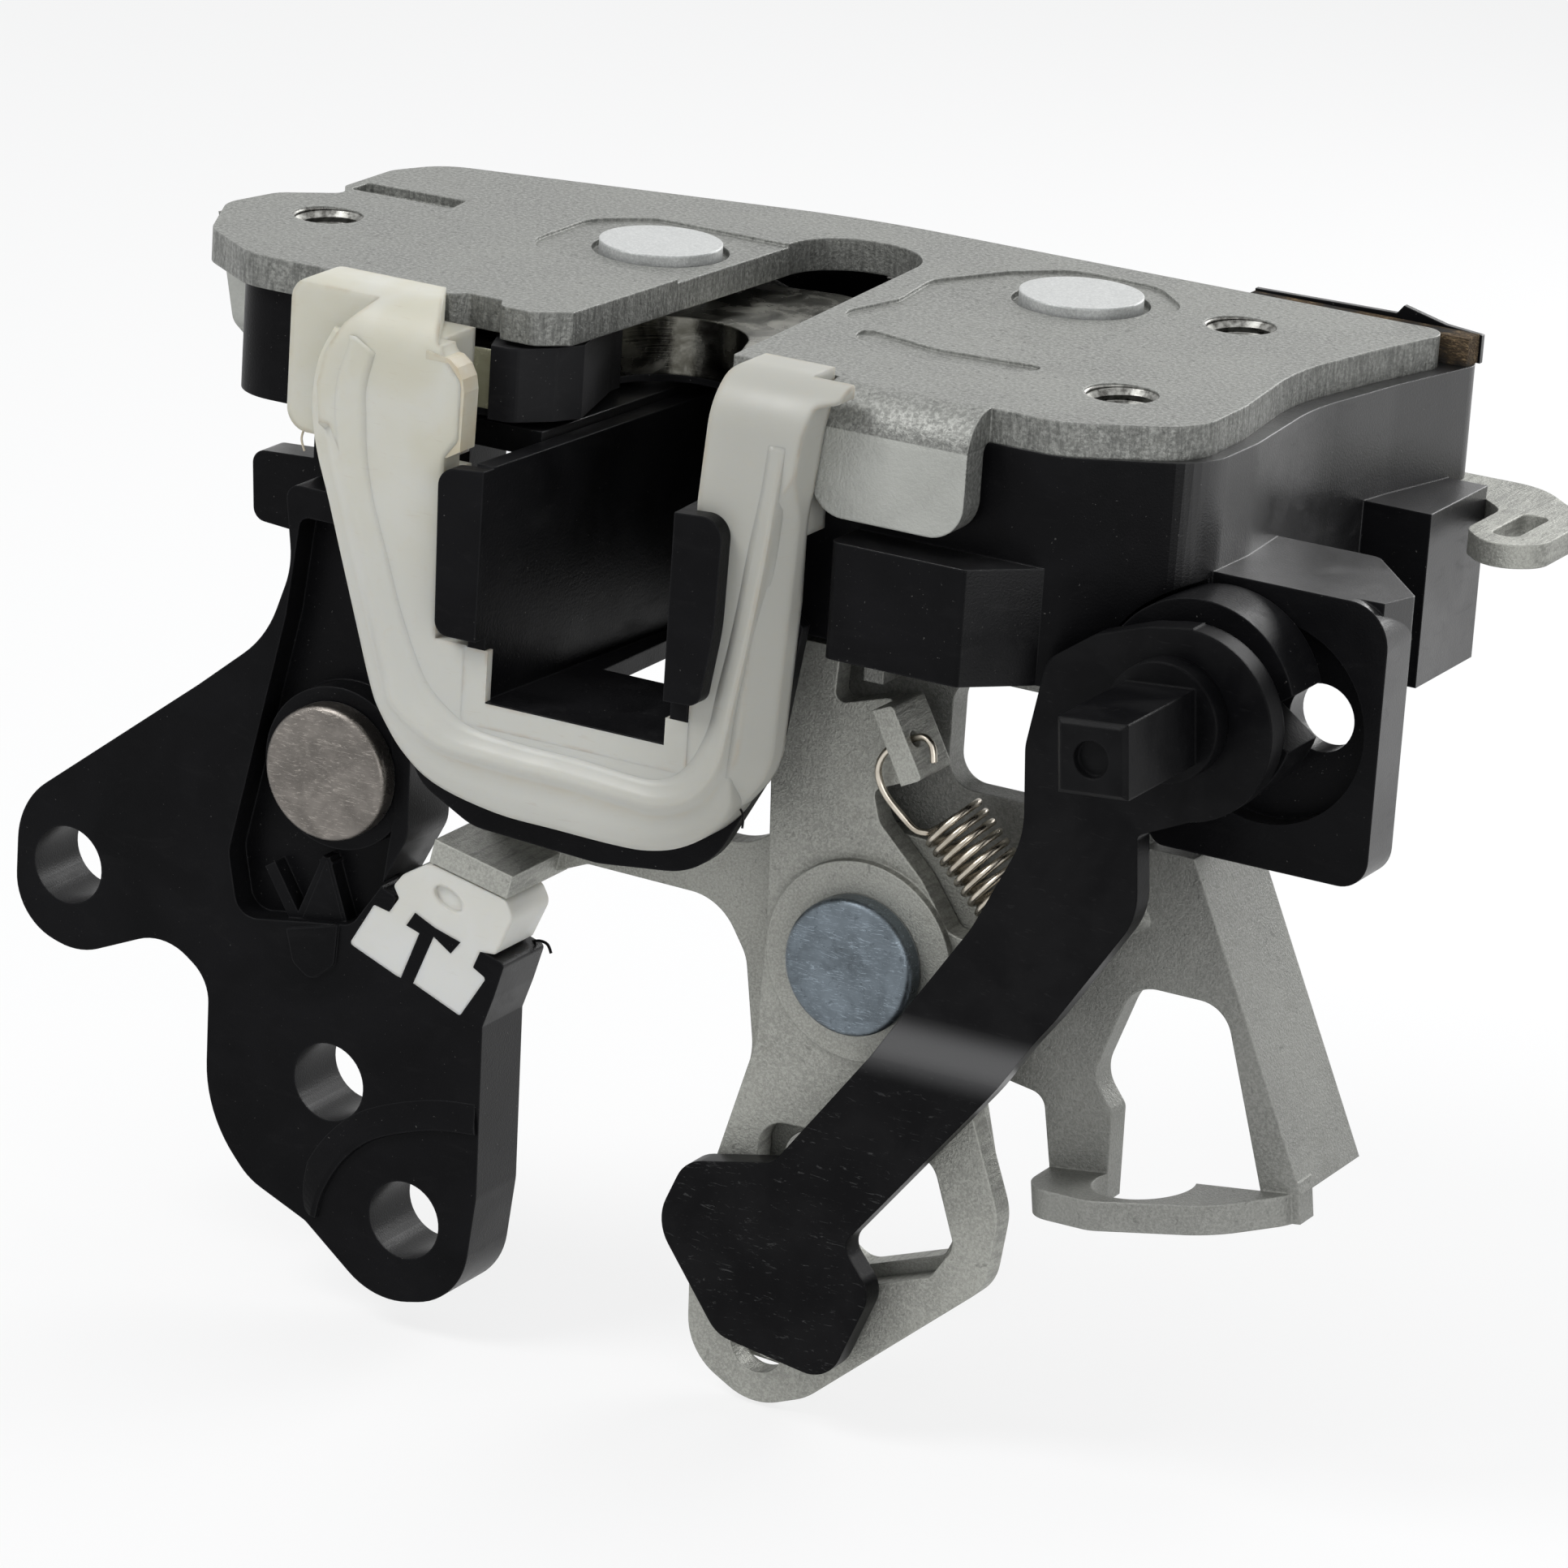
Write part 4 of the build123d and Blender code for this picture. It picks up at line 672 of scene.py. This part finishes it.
# Guard's rolled front, from the left hook round the mouth to the right hook: in X and Z, the outline,
# the foot of its ridge, the crest and the inner end of the slope, then Y of the foot and of the crest
GUARD_STATIONS = (
    (-12.1, -2.8, -10.8, -2.7, -8.6, -2.5, -6.7, -3.6, -32.6, -34.08),
    (-13.5, -5.8, -12.1, -5.7, -9.7, -5.6, -7.4, -6.6, -32.6, -34.08),
    (-13.9, -9.6, -12.4, -9.2, -10.0, -8.6, -7.3, -9.0, -32.6, -34.08),
    (-13.3, -13.2, -11.8, -12.8, -9.4, -12.2, -7.0, -12.4, -32.6, -34.08),
    (-11.9, -17.3, -10.5, -16.8, -8.1, -15.9, -6.2, -15.9, -32.6, -34.08),
    (-10.4, -22.0, -9.0, -21.4, -6.6, -20.5, -4.7, -20.1, -32.6, -34.08),
    (-8.7, -27.3, -7.3, -26.5, -5.0, -25.3, -3.1, -24.6, -32.6, -34.08),
    (-7.0, -32.0, -5.7, -31.1, -3.6, -29.7, -1.4, -28.3, -32.8, -34.15),
    (-5.5, -34.0, -4.6, -33.05, -2.8, -32.0, -0.1, -30.3, -33.4, -34.5),
    (-3.05, -36.57, -1.55, -34.77, -0.1, -33.6, 1.7, -31.8, -34.08, -34.9),
    (0.25, -38.87, 1.55, -35.87, 2.3, -34.6, 4.2, -33.0, -34.08, -34.9),
    (5.95, -40.17, 7.05, -36.27, 7.8, -34.9, 8.7, -33.4, -34.08, -34.9),
    (11.95, -40.37, 12.95, -36.37, 13.6, -35.0, 14.0, -33.5, -34.08, -34.9),
    (17.15, -40.47, 18.25, -36.67, 19.0, -35.3, 18.7, -33.8, -34.08, -34.9),
    (20.35, -40.27, 21.15, -36.87, 21.7, -35.4, 20.9, -33.8, -34.08, -34.9),
    (23.35, -39.37, 24.05, -35.97, 24.2, -34.7, 22.7, -33.2, -34.08, -34.9),
    (26.05, -37.57, 26.15, -34.37, 25.9, -33.3, 23.9, -32.2, -34.08, -34.9),
    (27.95, -35.07, 27.55, -31.97, 27.2, -31.1, 25.0, -30.5, -34.08, -34.9),
    (28.0, -32.4, 28.0, -28.85, 27.8, -28.2, 25.9, -28.1, -33.7, -34.7),
    (28.3, -28.8, 28.4, -25.8, 28.25, -25.2, 26.4, -25.2, -33.35, -34.5),
    (29.0, -24.3, 29.1, -21.5, 29.05, -21.0, 27.2, -21.1, -33.35, -34.5),
    (29.7, -20.2, 29.7, -17.8, 29.65, -17.2, 27.8, -17.4, -33.35, -34.5),
    (30.3, -15.4, 30.4, -13.4, 30.25, -12.9, 28.4, -13.0, -33.35, -34.5),
    (30.7, -10.1, 31.0, -8.5, 30.65, -8.0, 29.2, -8.2, -33.3, -34.35),
    (31.1, -5.6, 31.4, -4.7, 31.05, -4.3, 29.6, -4.4, -33.0, -34.05))
GUARD_FACE = -34.01                            # Y just in front of the guard's flat
GUARD_INSIDE = -29.7                           # Y where the overlay ends inside the guard


def mid(a, b, share):
    """The point that lies that share of the way from a to b."""
    return (a[0] + (b[0] - a[0]) * share, a[1] + (b[1] - a[1]) * share)


def guard_front():
    """The rolled edge and the ridge that the guard's front has outside its flat."""
    lines = []
    for row in GUARD_STATIONS:
        outline, foot, crest, inner, low, high = row[0:2], row[2:4], row[4:6], row[6:8], row[8], row[9]
        rise, fall = high - low, GUARD_FACE - high
        lines.append([
            (outline, GUARD_INSIDE), (outline, low + 1.3), (mid(outline, foot, 0.06), low + 0.8),
            (mid(outline, foot, 0.2), low + 0.45), (mid(outline, foot, 0.6), low + 0.15), (foot, low),
            (mid(foot, crest, 0.35), low + rise * 0.45), (mid(foot, crest, 0.7), low + rise * 0.88),
            (crest, high), (mid(crest, inner, 0.3), high + fall * 0.35),
            (mid(crest, inner, 0.65), high + fall * 0.8), (inner, GUARD_FACE), (inner, GUARD_INSIDE)])
    runs = [smooth_line([(x, y, z) for (x, z), y in run], 5) for run in zip(*lines)]
    rings = list(zip(*runs))
    points = [point for ring in rings for point in ring]
    add_piece("guard_rolled_front", points, skin(len(rings), len(runs)), looks["guard_front"],
              "latch_frame", "white_nylon")


def prism(name, outline, front, back, look, body, slot):
    """Flat piece with an outline in X and Z, from the front plane to the back one."""
    count = len(outline)
    points = [(x, front, z) for x, z in outline] + [(x, back, z) for x, z in outline]
    faces = [tuple(range(count)), tuple(reversed(range(count, 2 * count)))]
    faces += [(k, k + count, (k + 1) % count + count, (k + 1) % count) for k in range(count)]
    add_piece(name, points, faces, looks[look], body, slot, smooth=False)


LOBE_LINE = ((-11.9, -81.4), (-11.3, -78.9), (-9.4, -75.6), (-6.4, -73.0), (-1.1, -71.0), (3.1, -70.4))
ROD_FACE = -28.0                               # Y of the rod lever's front
STEP_RISE, STEP_SUNK = 0.4, 0.3


def lobe_step():
    """Step on the rod lever's face round the lobe of its lowest hole; it fades out away from the lobe."""
    foot = smooth_line([(x, ROD_FACE, z) for x, z in LOBE_LINE], 6)
    rise, sunk = Vector((0, -STEP_RISE, 0)), Vector((0, STEP_SUNK, 0))
    points = []
    for i, place in enumerate(foot):
        ahead = foot[min(i + 1, len(foot) - 1)] - foot[max(i - 1, 0)]
        out = Vector((-ahead.z, 0, ahead.x)).normalized()
        wide = out * (1.3 + 1.4 * min(1, i / 8))
        points += [place, place + rise + out * 0.15, place + rise + out * 0.6, place + wide,
                   place + wide + sunk, place + sunk]
    add_piece("rod_lever_lobe_step", points, skin(len(foot), 6), looks["rod_lever"], "handle_lever",
              "rod_lever_plastic", smooth=False)


def thread(name, x, y):
    """Turns of the M6 thread in a hole of the face plate."""
    rings, sides, pitch, outer, depth = 44, 40, 1.0, 2.99, 0.42
    top, length, run_out = -0.12, 2.6, 4
    points, faces = [], []
    for i in range(rings + 1):
        for k in range(sides):
            turn = k / sides
            z = top - length * i / rings
            phase = (z / pitch + turn) % 1.0
            r = outer - depth * (1 - abs(2 * phase - 1)) * min(1, i / run_out, (rings - i) / run_out)
            points.append((x + r * math.cos(2 * math.pi * turn), y + r * math.sin(2 * math.pi * turn), z))
    for i in range(rings):
        for k in range(sides):
            a, b = i * sides + k, i * sides + (k + 1) % sides
            faces.append((a, a + sides, b + sides, b))
    add_piece(name, points, faces, looks["thread"], "latch_frame", "plate_steel")


THREADS = (("left", -26.4, -10.3), ("back", 48.8, 10.6), ("front", 50.9, -15.4))
# Flat pieces: name, outline in X and Z, Y of the front and the back, look, body and slot
FLAT_PIECES = (
    ("guard_lobe",
     ((-2, -11.0), (0.4, -11.0), (1.6, -10.3), (1.7, -5.4), (1.5, -4.3), (1.0, -3.4), (0.2, -2.8),
      (-2, -2.5)),
     -33.97, -31.7, "guard_front", "latch_frame", "white_nylon"),
    ("guard_sill",
     ((3.0, -26.3), (5.2, -26.3), (5.2, -30.7), (21.9, -30.7), (21.9, -28.4), (24.0, -28.4), (24.0, -32.8),
      (3.0, -32.8)),
     GUARD_FACE, -33.2, "guard_front", "latch_frame", "white_nylon"),
    ("rod_lever_web",
     ((-13.3, -49.9), (-11.3, -55.4), (-15.9, -56.8)),
     -27.03, -24.6, "rod_lever", "handle_lever", "rod_lever_plastic"))
HOUSING_RIM = (
    "housing_rim",
    ((44, -2.9), (64.8, -2.9), (64.8, -0.5), (61.5, -0.2), (57.6, 0.75), (57.0, 0.0), (44, -0.2)),
    23.45, 23.98, "latch_housing", "latch_frame", "black_plastic")
# Hairs of moulding flash: name, line, radius, look, body and slot
HAIRS = (
    ("rod_lever_flash",
     ((3.6, -22.0, -54.9), (4.6, -22.0, -54.5), (5.5, -22.1, -54.6), (5.9, -22.1, -55.3)),
     0.13, "rod_lever", "handle_lever", "rod_lever_plastic"),
    ("skirt_flash",
     ((27.4, -31.0, -35.4), (28.2, -31.6, -35.9), (28.3, -31.8, -36.9)),
     0.1, "latch_housing", "latch_frame", "black_plastic"),
    ("block_flash",
     ((-15.2, -30.4, -12.0), (-15.3, -30.8, -13.0), (-14.9, -30.9, -14.0)),
     0.1, "guard_front", "latch_frame", "white_nylon"))

add_camera()
light_scene()
add_floor()
looks = dress_nodes()
looks["thread"] = thread_steel()
looks["guard_front"] = white_nylon("guard_front_nylon", GUARD_WHITE, dirt_and_shade=1.0, bevel=0, ridged=0.75)
for hole, x, y in THREADS:
    thread(f"thread_{hole}_turns", x, y)
guard_front()
for piece in FLAT_PIECES:
    prism(*piece)
lobe_step()
prism(*HOUSING_RIM)
for name, line, radius, look, body, slot in HAIRS:
    add_piece(name, *tube(smooth_line(line), radius, sides=6), looks[look], body, slot)
return_spring()
scene.view_settings.view_transform = "Standard"
